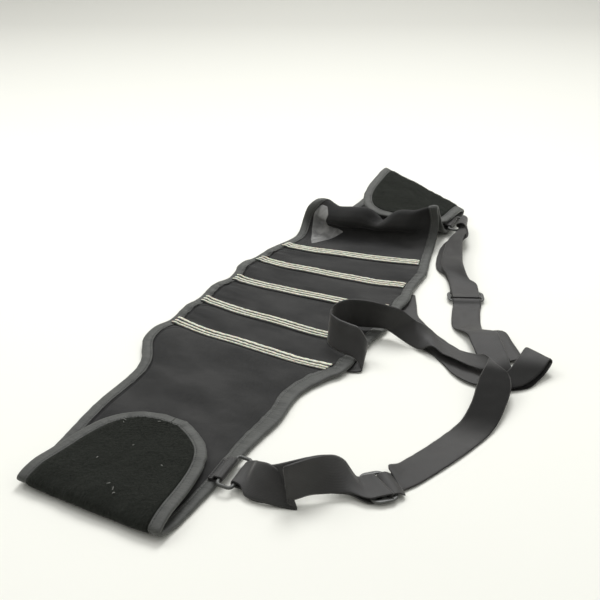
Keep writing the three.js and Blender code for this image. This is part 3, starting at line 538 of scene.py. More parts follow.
def fabric_material():
    m = Mat("belt_fabric", rough=0.8, Sheen_Weight=0.1, Sheen_Roughness=0.5, Specular_IOR_Level=0.2)
    m.b.inputs["Sheen Tint"].default_value = (0.86, 0.88, 0.9, 1)
    cloud = m.noise(m.scaled(m.uv, 0.014, 0.023, turn=0.6), 1.0, 3, 0.5)
    streak = m.noise(m.scaled(m.uv, 0.9, 0.07), 1.0, 3, 0.6)
    base = m.ramp(cloud, [(0.36, (0.013, 0.013, 0.0128)), (0.5, (0.024, 0.0238, 0.0233)), (0.66, (0.040, 0.0395, 0.0385))])
    base = m.mix(m.fit(streak, 0.3, 0.75, 0.0, 0.35), base, (0.046, 0.0453, 0.044))
    knit = weave(m, 0.95)
    base = m.mix(m.fit(knit, 0.45, 1.0, 0.28, 0.0), base, (0.009, 0.009, 0.009))
    # dark line along the left binding and the tapes' near edges: partly the stitching's own colour, partly painted
    # shade of the groove there
    base = m.mix(m.attr("line"), base, (0.007, 0.007, 0.007))
    crinkle = m.noise(m.scaled(m.uv, 0.07, 0.05), 1.0, 2, 0.5, 0.8)
    # painted light: a light grey colour with crinkled variation painted over the cloth in that area, where the
    # roughness also drops
    painted_light_colour = m.ramp(crinkle, [(0.3, (0.14, 0.14, 0.138)), (0.5, (0.23, 0.23, 0.225)), (0.7, (0.34, 0.34, 0.33))])
    lining = m.fit(m.attr("lining"), 0.44, 0.56, 0.0, 1.0)
    m.colour(m.mix(lining, base, painted_light_colour))
    m.rough(m.fit(lining, 0, 1, 0.8, 0.42))
    first = m.bump(knit, 0.00022, 0.7)
    second = m.bump(m.noise(m.scaled(m.uv, 0.11, 0.11), 1.0, 4, 0.55), 0.0011, 0.35, first)
    m.bump(m.math("MULTIPLY", crinkle, lining), 0.004, 0.6, second)
    return m.m


def binding_material():
    m = Mat("binding_tape", rough=0.55, Sheen_Weight=0.25, Sheen_Roughness=0.4, Specular_IOR_Level=0.4)
    m.b.inputs["Sheen Tint"].default_value = (0.92, 0.95, 0.9, 1)
    cloud = m.noise(m.scaled(m.uv, 0.05, 0.05), 1.0, 4, 0.6)
    base = m.ramp(cloud, [(0.3, (0.046, 0.0475, 0.0445)), (0.55, (0.066, 0.0683, 0.063)), (0.75, (0.088, 0.0912, 0.084))])
    rib = m.wave(m.uv, 0.31416 / 1.1, "X", 0.4)
    base = m.mix(m.fit(rib, 0.0, 0.6, 0.4, 0.0), base, (0.030, 0.031, 0.029))
    # darkens the stitched line and the leg's inner edge, partly own colour and partly painted shade, and the pinches
    # between puckers as painted shade
    base = m.mix(m.attr("seam"), base, (0.020, 0.021, 0.019))
    m.colour(base)
    first = m.bump(rib, 0.00018, 0.7)
    m.bump(m.noise(m.scaled(m.uv, 0.35, 0.14), 1.0, 3, 0.5), 0.0009, 0.45, first)
    return m.m


def pile_material():
    m = Mat("closure_pile", rough=0.95, Sheen_Weight=0.09, Sheen_Roughness=0.6, Specular_IOR_Level=0.12)
    m.b.inputs["Sheen Tint"].default_value = (0.86, 0.92, 0.82, 1)
    tuft = m.noise(m.scaled(m.uv, 0.75, 0.42), 1.0, 5, 0.7, 0.6)
    patch = m.noise(m.scaled(m.uv, 0.035, 0.05), 1.0, 4, 0.65)
    base = m.ramp(tuft, [(0.36, (0.004, 0.0046, 0.0034)), (0.52, (0.0095, 0.0108, 0.0083)), (0.63, (0.018, 0.0199, 0.0161)), (0.74, (0.062, 0.066, 0.056))])
    base = m.mix(m.fit(patch, 0.35, 0.7, 0.45, 0.0), base, (0.0055, 0.0062, 0.0048))
    m.colour(base)
    first = m.bump(tuft, 0.0016, 0.9)
    m.bump(m.noise(m.scaled(m.uv, 0.12, 0.09), 1.0, 4, 0.6), 0.0015, 0.5, first)
    return m.m


def fibre_material():
    m = Mat("closure_fibre", rough=0.7, Sheen_Weight=0.1, Specular_IOR_Level=0.3)
    pick = m.noise(m.scaled(m.obj, 900, 900, 900), 1.0, 2, 0.5)
    m.colour(m.ramp(pick, [(0.38, (0.005, 0.0057, 0.0044)), (0.58, (0.0115, 0.0128, 0.0103)), (0.72, (0.072, 0.0765, 0.066))]))
    return m.m


def webbing_material(name="webbing", lift=1.0):
    m = Mat(name, rough=0.56, Sheen_Weight=0.36, Sheen_Roughness=0.34, Specular_IOR_Level=0.5)
    m.b.inputs["Sheen Tint"].default_value = (0.95, 0.93, 0.9, 1)
    rib = m.wave(m.uv, 0.31416 / 1.45, "X", 0.25)
    pick = m.wave(m.uv, 0.31416 / 1.0, "Y", 0.5)
    cloud = m.noise(m.scaled(m.uv, 0.03, 0.014), 1.0, 5, 0.6)
    k = lift
    base = m.ramp(cloud, [(0.3, (0.015 * k, 0.0145 * k, 0.0139 * k)), (0.55, (0.023 * k, 0.0223 * k, 0.0213 * k)), (0.75, (0.032 * k, 0.0311 * k, 0.0298 * k))])
    base = m.mix(m.fit(rib, 0.0, 0.7, 0.25, 0.0), base, (0.010, 0.0098, 0.0094))
    base = m.mix(m.fit(pick, 0.5, 1.0, 0.0, 0.14), base, (0.075, 0.073, 0.070))
    # painted shade: this attribute darkens the colour and raises the roughness where the strap's shade masks are set
    dark = m.attr("dark")
    m.colour(m.mix(m.fit(dark, 0.0, 1.0, 0.0, 0.9), base, (0.004, 0.0039, 0.0036)))
    m.link(m.fit(dark, 0.0, 1.0, 0.56, 1.0), m.b.inputs["Roughness"])
    first = m.bump(rib, 0.00018, 0.6)
    m.bump(pick, 0.00012, 0.6, first)
    return m.m


def bead_material():
    m = Mat("grip_bead", rough=0.5, Specular_IOR_Level=0.35, Subsurface_Weight=0.15, Subsurface_Scale=0.001)
    cloud = m.noise(m.scaled(m.uv, 0.35, 0.35), 1.0, 4, 0.6)
    base = m.ramp(cloud, [(0.3, (0.60, 0.60, 0.47)), (0.5, (0.78, 0.78, 0.65)), (0.72, (0.90, 0.90, 0.79))])
    m.colour(base)
    m.bump(m.noise(m.scaled(m.uv, 0.6, 0.6), 1.0, 3, 0.5), 0.0006, 0.5)
    return m.m


def tape_material():
    m = Mat("grip_base", rough=0.7, Sheen_Weight=0.15, Sheen_Roughness=0.5, Specular_IOR_Level=0.3)
    rib = m.wave(m.uv, 0.31416 / 0.9, "X", 0.4)
    cloud = m.noise(m.scaled(m.uv, 0.06, 0.06), 1.0, 4, 0.6)
    base = m.ramp(cloud, [(0.3, (0.020, 0.020, 0.0195)), (0.7, (0.036, 0.036, 0.0345))])
    base = m.mix(m.fit(rib, 0.0, 0.6, 0.5, 0.0), base, (0.010, 0.010, 0.0096))
    m.colour(base)
    m.bump(rib, 0.0002, 0.7)
    return m.m


def plastic_material():
    m = Mat("moulded_plastic", rough=0.42, Specular_IOR_Level=0.5)
    grain = m.noise(m.scaled(m.obj, 1400, 1400, 1400), 1.0, 3, 0.6)
    cloud = m.noise(m.scaled(m.obj, 60, 60, 60), 1.0, 3, 0.6)
    m.colour(m.ramp(cloud, [(0.3, (0.050, 0.052, 0.049)), (0.7, (0.085, 0.088, 0.083))]))
    m.rough(m.fit(cloud, 0.3, 0.7, 0.36, 0.52))
    m.bump(grain, 0.0001, 0.35)
    return m.m


def thread_material(name, dark, light):
    m = Mat(name, rough=0.6, Sheen_Weight=0.2, Specular_IOR_Level=0.35)
    twist = m.noise(m.scaled(m.obj, 1600, 1600, 1600), 1.0, 2, 0.5)
    m.colour(m.ramp(twist, [(0.35, dark), (0.65, light)]))
    m.bump(twist, 0.0001, 0.4)
    return m.m


FABRIC, BINDING, PILE, FIBRE = fabric_material(), binding_material(), pile_material(), fibre_material()
WEBBING, BEAD, TAPE, PLASTIC = webbing_material(), bead_material(), tape_material(), plastic_material()
THREAD = thread_material("thread_grey", (0.022, 0.022, 0.021), (0.075, 0.076, 0.072))
THREAD_DARK = thread_material("thread_dark", (0.010, 0.010, 0.0095), (0.030, 0.030, 0.028))
THREAD_PALE = thread_material("thread_pale", (0.10, 0.10, 0.095), (0.24, 0.24, 0.225))
LINT = thread_material("lint", (0.30, 0.30, 0.28), (0.62, 0.62, 0.58))


def made(ob, slot, *nodes):
    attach(ob, "root")
    if nodes:
        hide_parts(*nodes)
    return ob


# ------------------------------------------------------------------ belt walls
def panel_line(r, w):
    """Distance, in mm, from the stitched line that runs along the left binding and turns into the near edge of each
    tape. The dark line painted along it is partly the stitching's own colour and partly painted shade of the groove.
    """
    u, v, wide = flat_uv(r, w)
    y = v - (BIND_W + 1.6)
    best = np.full(r.shape, 99.0)
    for k, t in enumerate(TAPES):
        gap = np.interp(t, R_TAB, U_TAB) - u
        x = gap - (TAPE_W / 2 + 1.0)
        R = 14.0
        corner = np.abs(np.hypot(x - R, y - R) - R)
        d = np.where((x < R) & (y < R), corner, np.where(y >= R, 0.7 + np.abs(x), np.abs(y)))
        reach = 330 if k == 0 else 70 - TAPE_W / 2
        d = np.where((x > -2.5) & (x < reach) & (wide - v > BIND_W + 2), d, 99.0)
        best = np.minimum(best, d)
    return best


# Painted light: section coordinates of the area near the left edge of the far wing's rise where the cloth is painted
# much lighter, as its curled inner face catches light there.
PAINTED_LIGHT_AREA = np.array([(26.55, 0.088), (26.7, 0.135), (26.35, 0.18), (25.23, 0.188), (25.05, 0.242), (24.73, 0.312), (24.07, 0.238), (22.85, 0.165), (23.52, 0.12), (24.52, 0.085), (25.6, 0.072)])


def within(poly, x, y, size=(20.0, 190.0), soft=6.0):
    """About 1 inside a polygon of section coordinates and 0 outside, easing over soft mm."""
    q = np.stack([x * size[0], y * size[1]], -1)
    poly = poly * np.array(size)
    c, far = np.zeros(x.shape, bool), np.full(x.shape, 1e9)
    for a, b in zip(poly, np.roll(poly, -1, axis=0)):
        hit = (a[1] > q[..., 1]) != (b[1] > q[..., 1])
        c ^= hit & (q[..., 0] < (b[0] - a[0]) * (q[..., 1] - a[1]) / (b[1] - a[1] + 1e-12) + a[0])
        f = np.clip(((q - a) @ (b - a)) / ((b - a) @ (b - a)), 0, 1)
        far = np.minimum(far, np.linalg.norm(q - a - f[..., None] * (b - a), axis=-1))
    return np.clip(0.5 + np.where(c, far, -far) / soft, 0, 1)


def wall(name, keys, step, cols, zone=ZONE):
    s = spread_rows(keys, step)
    R, W = belt_grid(s, cols, zone)
    P, n = SD(R, W)
    u, v, wide = flat_uv(R, W)
    line = panel_line(R, W)
    lying = np.interp(R, np.arange(LAST + 1), FLAT)
    groove = np.exp(-((line / 1.5) ** 2)) * lying * 0.75
    # mask of the painted light area, which also lifts the cloth 0.25 mm
    patch = within(PAINTED_LIGHT_AREA, R, W)
    top = P + n * (WALL / 2 - groove + patch * 0.25)[..., None]
    low = P - n * (WALL / 2)
    nu, nv = R.shape
    k = nu * nv
    faces = [grid_faces(nu, nv), grid_faces(nu, nv, k)[:, ::-1]]
    i = np.arange(nu - 1)
    for j, turn in ((0, 1), (nv - 1, -1)):
        faces.append(np.stack([i * nv + j, (i + 1) * nv + j, k + (i + 1) * nv + j, k + i * nv + j], -1)[:, ::turn])
    j = np.arange(nv - 1)
    for row, turn, zipped in ((0, -1, s[0] <= -1), (nu - 1, 1, s[-1] >= LAST + 1)):
        if not zipped:
            faces.append(np.stack([row * nv + j, row * nv + j + 1, k + row * nv + j + 1, k + row * nv + j], -1)[:, ::turn])
    uv = np.stack([v, u], -1)
    return add_mesh(
        name, np.concatenate([top.reshape(-1, 3), low.reshape(-1, 3)]), faces, FABRIC,
        uv=np.concatenate([uv.reshape(-1, 2)] * 2),
        attrs={
            # dark line: partly the stitching's colour, partly painted shade of the groove
            "line": np.concatenate([(np.exp(-((line / 1.15) ** 2)) * lying * 0.9).ravel(), np.zeros(k)]),
            # mask of the painted light on the cloth colour
            "lining": np.concatenate([patch.ravel(), np.zeros(k)]),
        },
        join=True,
    )


def columns(count, left=0.0):
    """Column positions across the belt, closer together near the left edge."""
    x = np.linspace(0, 1, count + 2)[1:-1]
    return np.sort(np.concatenate([x, np.linspace(0, left, 9)[1:-1]])) if left else x


SEAM = 0.006
near_wing = wall("near_wing_cloth", [-1, 0, 2, 5, 7, 9, 11, 13, T1 - SEAM], 3.0, columns(52, 0.045))
back_panel = wall("back_panel_cloth", [T1 + SEAM, 15, 16, 17, 18, 19, 20, 21, T5 - SEAM], 1.9, columns(84, 0.03))
far_wing = wall("far_wing_cloth", [T5 + SEAM, 23, 24, 25, 26, 27, 28, 29, 30, 31, 33, 35, 37, LAST, LAST + 1], 2.6, columns(64))
made(near_wing, "belt_fabric", "near_wing")
made(back_panel, "belt_fabric", "back_panel")
made(far_wing, "belt_fabric", "far_wing")


# ------------------------------------------------------------------ threads
def threads(name, P, N, pitch, length, radius, mat, lift=0.3, zig=0.0, start=0.0):
    """Single stitches along a line of surface points P with normals N; zig puts them at a slant."""
    P, N = np.asarray(P, float), unit(np.asarray(N, float))
    arc = np.concatenate([[0], np.cumsum(np.linalg.norm(np.diff(P, axis=0), axis=1))])
    a = np.arange(start, arc[-1] - length, pitch)
    if not len(a):
        return None
    t = np.linspace(0, 1, 5)
    at = a[:, None] + length * t[None]

    def along(A):
        return np.stack([np.interp(at, arc, A[:, c]) for c in range(3)], -1)

    c, n = along(P), unit(along(N))
    tan = unit(np.gradient(c, axis=1))
    side = unit(np.cross(n, tan))
    c = c + n * ((np.sin(math.pi * t) * radius * 1.1 - radius * 0.35 + lift)[None, :, None])
    if zig:
        c = c + side * ((t - 0.5) * zig * np.where(np.arange(len(a)) % 2, 1, -1)[:, None])[..., None]
    fat = radius * np.array([0.55, 0.95, 1.0, 0.95, 0.55])
    ang = np.arange(6) * math.pi / 3
    ring = c[:, :, None] + (side[:, :, None] * np.cos(ang)[None, None, :, None] + n[:, :, None] * np.sin(ang)[None, None, :, None]) * fat[None, :, None, None]
    per = 5 * 6
    body = np.concatenate([grid_faces(5, 6, close=True)])
    ends = np.array([[5, 4, 3, 2, 1, 0], [24, 25, 26, 27, 28, 29]])
    off = (np.arange(len(a)) * per)[:, None, None]
    return add_mesh(name, ring.reshape(-1, 3), [(body[None] + off).reshape(-1, 4), (ends[None] + off).reshape(-1, 6)], mat, turn=False)


# ------------------------------------------------------------------ binding
PUCKER = waves(21, 7.5, n=26, spread=(0.6, 2.4))
PUCKER2 = waves(22, 19, n=20)
NEAR_KEYS = [-1, 0, 1, 2, 4, 5, 6, 7, 9, 11, 12, 13, T1]
FAR_KEYS = [23, 24, 25, 26, 27, 28, 29, 30, 31, 32, 33, 34, 35, 36, 37, 38, LAST, LAST + 1]
STITCH_D = 10.4


def leg_width(side, s):
    """Visible width of the binding's inside leg: wider on the upper edge of the wing and back."""
    return BIND_W + (5.8 * ss(s, 8.0, 9.5) * (1 - 0.45 * ss(s, 13.0, 15.0) - 0.55 * ss(s, 17.5, 20.0)) if side else 0.0 * s)


def binding(name, side, cad):
    s = spread_rows(NEAR_KEYS + [15, 16, 17, 18, 19, 20, 21, T5] + FAR_KEYS, 2.3)
    leg_d = np.array([12.7, 12.3, 11.7, 11.0, STITCH_D, 9.8, 9.0, 7.0, 5.0, 3.3])
    rim_a = np.radians([72, 48, 24, 0, -24, -48, -72])
    tip = np.where(s <= -1, 0.2, np.where(s >= LAST + 1, -0.2, 0.0))[:, None]

    def leg(d):
        r, w, e, t = inset(side, s, d)
        p, n = SD(r, w)
        return p + t * tip, n

    r, w, e, t = inset(side, s, EDGE)
    f, fn = SD(r, w)
    f = f + t * tip
    arc = np.concatenate([[0], np.cumsum(np.linalg.norm(np.diff(f, axis=0), axis=1))])
    pucker, slow = PUCKER(arc, side * 500.0), PUCKER2(arc, side * 500.0)
    back = ss(s, T1 - 0.6, T1 + 0.2) * (1 - ss(s, T5 - 0.2, T5 + 0.6))
    gathered = 0.6 + 0.7 * back + 0.5 * (1 - ss(s, 2.5, 4)) + 0.5 * ss(s, LAST - 4, LAST - 2.5)
    wide = leg_width(side, s)
    wide = wide + 0.35 * slow * gathered * np.where(wide > BIND_W + 1, 1.6, 0.0)
    legs = [leg(np.minimum(d, 3.3) + (d - 3.3) * (wide - 3.3) / (BIND_W - 3.3) if d > 3.3 else np.full(s.shape, d)) for d in leg_d]
    plain = [leg(np.full(s.shape, d)) for d in leg_d]

    def height(d, face):
        k = d / BIND_W
        h = OUTER + (0.5 if face > 0 else 0.12) * np.sin(math.pi * min(d / STITCH_D, 1)) - 0.42 * math.exp(-(((d - STITCH_D) / 0.6) ** 2))
        if d > 12:
            h -= (d - 12) / 0.7 * 0.45
        ripple = (0.26 * pucker * k + 0.2 * slow * k * k) * gathered
        return (h + ripple * (1 if face > 0 else 0.3))[:, None]

    upper = [p + n * height(d, 1) for d, (p, n) in zip(leg_d, legs)]
    under = [p - n * height(d, -1) for d, (p, n) in zip(leg_d, plain)]
    wav = 0.25 * (pucker * 0.5 + slow)[:, None] * gathered[:, None]
    rim = [f - e * (EDGE * math.cos(a) + wav * math.cos(a)) + fn * (OUTER * (1.02 if a > 0 else 0.95) * math.sin(a)) for a in rim_a]
    upper_in = [p + n * HALF for p, n in legs]
    under_in = [p - n * HALF for p, n in plain]
    rim_in = [f - e * (RIM * math.cos(a)) + fn * (HALF * math.sin(a)) for a in rim_a]
    outer = upper + rim + under[::-1]
    inner = upper_in + rim_in + under_in[::-1]
    st = np.stack(outer + inner[::-1], 1)
    nu, nv = st.shape[:2]
    across = np.concatenate([leg_d, 1.2 * np.sin(rim_a) + 0.5 - 1.2, -leg_d[::-1]])
    across = np.concatenate([across, across[::-1]])
    uv = np.stack([np.broadcast_to(arc[:, None], (nu, nv)), np.broadcast_to(across[None], (nu, nv))], -1)
    # dark lines at the leg's inner edge and along the stitching, partly their own colour and partly painted shade at
    # the step onto the cloth; crease adds painted shade in the pinches between puckers
    seam = np.exp(-(((np.abs(across) - 12.9) / 0.5) ** 2)) + 0.35 * np.exp(-(((np.abs(across) - STITCH_D) / 0.5) ** 2))
    crease = 0.75 * ss(-pucker * gathered, 0.5, 1.7)[:, None] * ss(np.abs(across), 2.0, 9.0)[None]
    ob = add_mesh(name, st.reshape(-1, 3), sweep_faces(nu, nv, strip=True), BINDING, uv=uv,
                  attrs={"seam": np.clip(seam[None] + crease, 0, 1)})
    made(ob, "binding_tape", cad)
    for face, sign, (p, n) in (("in", 1, legs[4]), ("out", -1, plain[4])):
        line = p + n * sign * (height(STITCH_D, sign) - 0.1)
        made(threads("%s_stitches_%s" % (name, face), line, n * sign, 3.6, 2.3, 0.3, THREAD_PALE if side and sign > 0 else THREAD, lift=0.22), "binding_tape")
    return ob


lower_binding = binding("lower_binding_tape", 0, "lower_binding")
upper_binding = binding("upper_binding_tape", 1, "upper_binding")


# ------------------------------------------------------------------ closure pile
TUFT = waves(31, 4.2, n=40)
LUMP = waves(32, 17, n=24)


def pile(name, keys, step, cad, seed, count):
    s = spread_rows(keys, step)
    R, W = belt_grid(s, columns(70), zone=[BIND_W + 0.1])
    P, n = SD(R, W)
    u, v, wide = flat_uv(R, W)
    rim = np.minimum(np.minimum(np.arange(R.shape[1]), np.arange(R.shape[1])[::-1])[None] / 2.0, 1.0)
    rough = (0.16 * TUFT(u, v) + 0.16 * LUMP(u, v)) * rim
    out = P - n * (HALF + PILE_T * (0.55 + 0.45 * rim) + rough)[..., None]
    back = P - n * HALF
    nu, nv = R.shape
    k = nu * nv
    faces = [grid_faces(nu, nv)[:, ::-1], grid_faces(nu, nv, k)]
    i, j = np.arange(nu - 1), np.arange(nv - 1)
    for c, turn in ((0, 1), (nv - 1, -1)):
        faces.append(np.stack([i * nv + c, (i + 1) * nv + c, k + (i + 1) * nv + c, k + i * nv + c], -1)[:, ::turn])
    for row, turn, zipped in ((0, -1, s[0] <= -1), (nu - 1, 1, s[-1] >= LAST + 1)):
        if not zipped:
            faces.append(np.stack([row * nv + j, row * nv + j + 1, k + row * nv + j + 1, k + row * nv + j], -1)[:, ::turn])
    uv = np.concatenate([np.stack([v, u], -1).reshape(-1, 2)] * 2)
    ob = add_mesh(name, np.concatenate([out.reshape(-1, 3), back.reshape(-1, 3)]), faces, PILE, uv=uv, join=True)
    made(ob, "closure_pile", cad)
    # short loops and hairs that stand out of the pile
    g = np.random.default_rng(seed)
    cell = np.linalg.norm(np.cross(out[1:, :-1] - out[:-1, :-1], out[:-1, 1:] - out[:-1, :-1]), axis=-1)
    pick = g.choice(cell.size, count, p=(cell / cell.sum()).ravel())
    a, b = np.unravel_index(pick, cell.shape)
    x, y = g.random(count)[:, None], g.random(count)[:, None]

    def at(A):
        return (A[a, b] * (1 - x) + A[a + 1, b] * x) * (1 - y) + (A[a, b + 1] * (1 - x) + A[a + 1, b + 1] * x) * y

    root, up = at(out), -unit(at(n))
    lean = g.normal(size=(count, 3))
    way = unit(up + unit(lean) * g.uniform(0.5, 1.7, (count, 1)))
    way = np.where(dot(way, up) < 0.12, unit(way + up * 0.5), way)
    long = g.uniform(0.7, 1.7, (count, 1)) * np.where(g.random((count, 1)) < 0.05, 1.7, 1.0)
    side = unit(np.cross(way, g.normal(size=(count, 3)))) * g.uniform(0.08, 0.15, (count, 1))
    root = root - up * 0.15
    tri = np.stack([root - side, root + side, root + way * long], 1)
    fuzz = add_mesh(name + "_fuzz", tri.reshape(-1, 3), [np.arange(count * 3).reshape(-1, 3)], FIBRE, turn=False)
    made(fuzz, "closure_pile")
    return ob, fuzz, out, n


near_pile, near_fuzz, near_out, near_n = pile("near_pile_cloth", [-1, 0, 2, 4, 5, 5.6, 6.45], 1.9, "near_pile", 41, 34000)
far_pile, far_fuzz, far_out, far_n = pile("far_pile_cloth", [32.8, 33.4, 34, 35, 36, 37, LAST, LAST + 1], 2.1, "far_pile", 42, 26000)


# ------------------------------------------------------------------ grip tapes
TAPE_WAVE = waves(51, 60, n=10)
BEAD_LUMP = waves(52, 9, n=22)


def grip_tape(k, row):
    rows = np.array([float(row)])
    (_, wl, _, _), (_, wr, _, _) = inset(0, rows, 7.6), inset(1, rows, leg_width(1, rows) + 0.8)
    nst = 150
    w = np.linspace(wl[0], wr[0], nst)
    r0 = np.full(nst, float(row))
    p, dr, dw, n = frame_at(r0, w)
    per = np.linalg.norm(dr, axis=-1)
    arc = np.concatenate([[0], np.cumsum(np.linalg.norm(np.diff(p, axis=0), axis=1))])
    ends = ss(arc, 0, 12) * ss(arc[-1] - arc, 0, 12)
    kink = TAPE_WAVE(arc, k * 90.0) * (1.1 if k == 3 else 0.45) * ends
    base = HALF + TAPE_T
    ride = (OUTER + 0.55 - HALF) * (1 - ss(arc, 5.0, 11.0))

    def at(c, h):
        c = np.broadcast_to(c, (nst,))
        q, m = SD(r0 + (c + kink) / per, w)
        return q + m * (np.broadcast_to(h, (nst,)) + ride)[:, None]

    hw = TAPE_W / 2
    scallop = 0.22 * np.sin(arc * 2 * math.pi / 3.6 + k)
    sect = [(-hw + scallop, HALF), (-hw + 0.8 + scallop, base - 0.5), (-hw + 1.7, base - 0.18)]
    flags = [0, 0, 0]
    sect += [(-hw + 2.0, base - 0.05), (-hw + 2.5, base)]
    flags += [0, 0]
    splay = 1 + 0.10 * (1 - ss(arc, 0, 22))
    for j in (-1, 0, 1):
        mid = j * BEAD_PITCH * splay + 0.16 * BEAD_LUMP(arc, k * 40.0 + j * 13.0)
        tall = BEAD_H * (1.05 + 0.13 * BEAD_LUMP(arc, k * 31.0 + j * 7.0 + 200)) * (0.25 + 0.75 * ss(arc, 0.0, 3.0) * ss(arc[-1] - arc, 0.0, 3.0))
        wide = BEAD_W / 2 * (1 + 0.07 * BEAD_LUMP(arc, k * 17.0 + j * 5.0 + 400))
        for a in np.radians([180, 160, 135, 110, 90, 70, 45, 20, 0]):
            sect.append((mid + wide * math.cos(a), base + tall * math.sin(a)))
            flags.append(1)
    sect += [(hw - 2.5, base), (hw - 2.0, base - 0.05), (hw - 1.7, base - 0.18), (hw - 0.8 - scallop, base - 0.5), (hw - scallop, HALF)]
    flags += [0] * 5
    st = np.stack([at(c, h) for c, h in sect], 1)
    m = len(sect)
    idx = [np.where(np.array([flags[i] and flags[(i + 1) % m] and i % 9 != 4 for i in range(m)]), 1, 0)]
    between = {5 + 8, 5 + 17}
    mat = np.tile(np.array([1 if flags[i] and flags[(i + 1) % m] and i not in between else 0 for i in range(m)]), nst - 1)
    off = np.array([float(np.mean(c)) for c, h in sect])
    uv = np.stack([np.broadcast_to(arc[:, None], (nst, m)), np.broadcast_to(off[None], (nst, m))], -1)
    ob = add_mesh("grip_tape_%d_beaded" % k, st.reshape(-1, 3), sweep_faces(nst, m), [TAPE, BEAD], uv=uv, index=np.concatenate([mat, [0, 0]]))
    made(ob, "grip_bead", "grip_tape_%d" % k)
    for tag, c in (("a", -hw + 1.3), ("b", hw - 1.3)):
        q = at(c, base - 0.3)
        made(threads("grip_tape_%d_stitches_%s" % (k, tag), q, n, 2.1, 2.1, 0.2, THREAD_DARK, lift=0.1, zig=1.5), "binding_tape")
    return ob


grip_tapes = [grip_tape(k + 1, t) for k, t in enumerate(TAPES)]


# ------------------------------------------------------------------ straps
def way(yaw, tilt=0.0):
    y, t = math.radians(yaw), math.radians(tilt)
    return np.array([math.cos(t) * math.cos(y), math.cos(t) * math.sin(y), math.sin(t)])


def strap_route(double, slider, single, reach=0.92, turn=0.0):
    c = np.array([row[:3] for row in double], float)
    d = np.array([way(row[3], row[4]) for row in double])
    k = np.arange(len(double))
    t = unit(c[np.minimum(k + 1, k[-1])] - c[np.maximum(k - 1, 0)])
    n = unit(np.cross(t, d))
    t = unit(t - d * dot(t, d))
    sep = [row[5] for row in double]
    o, sd = np.array(slider[:3], float), way(slider[3])
    st, sz = np.array([sd[1], -sd[0], 0]), np.array([0, 0, 1.0])
    if st @ t[-1] < 0:
        st = -st
    n = n * np.sign(n[-1, 2])
    pitch, lift = (SLIDER_D - SLIDER_BAR) / 2, SLIDER_T / 2 + GAP + STRAP_T / 2 + 0.25
    half = sep[0] / 2

    def at(along, h):
        return o + st * along + sz * h, sd

    def wrap(a):
        return c[0] + n[0] * (-half + half * math.cos(a)) - t[0] * half * math.sin(a), d[0]

    def end(along, h, part):
        return at(along, h)[0] - sd * 2.0 * part * (turn != 0), way(slider[3] + turn * part)

    rows = [end(pitch * reach, lift + 1.5, 1), end(pitch * (reach - 0.32), lift + 1.75, 0.8), end(pitch * (reach - 0.95), lift + 0.9, 0.35), at(-pitch * 1.3, lift + 0.6)]
    rows += [(c[i], d[i]) for i in k[::-1]]
    rows += [wrap(math.pi * q) for q in (0.25, 0.5, 0.75)]
    rows += [(c[i] - n[i] * sep[i] - d[i] * double[i][6], d[i]) for i in k if sep[i] is not None]
    rows += [at(-pitch * 1.3, -lift), at(-pitch * 0.2, -lift), at(pitch * 0.25, -lift + 0.3), at(pitch * 0.52, lift * 0.2), at(pitch * 0.85, lift - 0.1), at(pitch * 1.25, lift - 0.3), at(pitch * 1.8, -lift + 1.2)]
    rows += [(np.array(row[:3], float), way(row[3], row[4])) for row in single]
    return np.array([r[0] for r in rows]), np.array([r[1] for r in rows])


STRAP_SOFT = waves(61, 24, n=20)
STRAP_EDGE = waves(62, 13, n=20)


# Painted shade: these masks darken the webbing's colour and raise its roughness by place, on the near strap's run up
# to the crease and on the far strap's folded end.
def near_painted_shade(p):
    """Tone set by place on the strap: the photo shows the run up to the crease darker than this light makes it."""
    return ss(p[..., 1], -222, -165) * (1 - ss(p[..., 1], -98, -78)) * ss(p[..., 0], 225, 245)


def far_painted_shade(p):
    """The same for the far strap's folded end."""
    return ss(-p[..., 1], 38, 66) * ss(p[..., 0], 262, 282)


def strap(name, route, cad, seed, tone):
    c, d = route
    A, B = c - d * STRAP_W / 2, c + d * STRAP_W / 2
    x = np.linspace(0, len(c) - 1, (len(c) - 1) * 60 + 1)
    a, b = crom(A, x), crom(B, x)
    step = np.maximum(np.linalg.norm(np.diff(a, axis=0), axis=1), np.linalg.norm(np.diff(b, axis=0), axis=1))
    arc = np.concatenate([[0], np.cumsum(step)])
    pick = np.interp(np.linspace(0, arc[-1], int(arc[-1] / 1.9)), arc, x)
    a, b = crom(A, pick), crom(B, pick)
    m = (a + b) / 2
    length = np.concatenate([[0], np.cumsum(np.linalg.norm(np.diff(m, axis=0), axis=1))])
    t = unit(np.gradient(m, axis=0))
    n = unit(np.cross(t, b - a))
    h = STRAP_T / 2
    k = np.linspace(-1, 1, 23)
    across = k * STRAP_W / 2
    top = [(q, h * (1 if abs(q) < 17.2 else 0.8)) for q in across]
    sect = [(-18.0, 0.0)] + [(q, z) for q, z in top if abs(q) < 17.9] + [(18.0, 0.0)] + [(q, -z) for q, z in top[::-1] if abs(q) < 17.9]
    st, uv = [], []
    for q, z in sect:
        f = (q / STRAP_W + 0.5)
        p = a * (1 - f) + b * f
        lift = 0.12 * STRAP_SOFT(length, q + seed * 100) + 0.10 * STRAP_EDGE(length, 40.0 * np.sign(q) + seed * 50) * (abs(q) / 18) ** 4
        lift = lift * ss(length, 4, 20) * ss(length[-1] - length, 4, 20)
        st.append(p + n * (z + lift)[:, None])
        uv.append(np.stack([np.full(len(length), q), length], -1))
    st, uv = np.stack(st, 1), np.stack(uv, 1)
    nu, nv = st.shape[:2]
    # the dark attribute carries the strap's painted shade
    ob = add_mesh(name, st.reshape(-1, 3), sweep_faces(nu, nv), WEBBING, uv=uv, attrs={"dark": tone(st)})
    return made(ob, "webbing", cad), m, n, unit(b - a), length


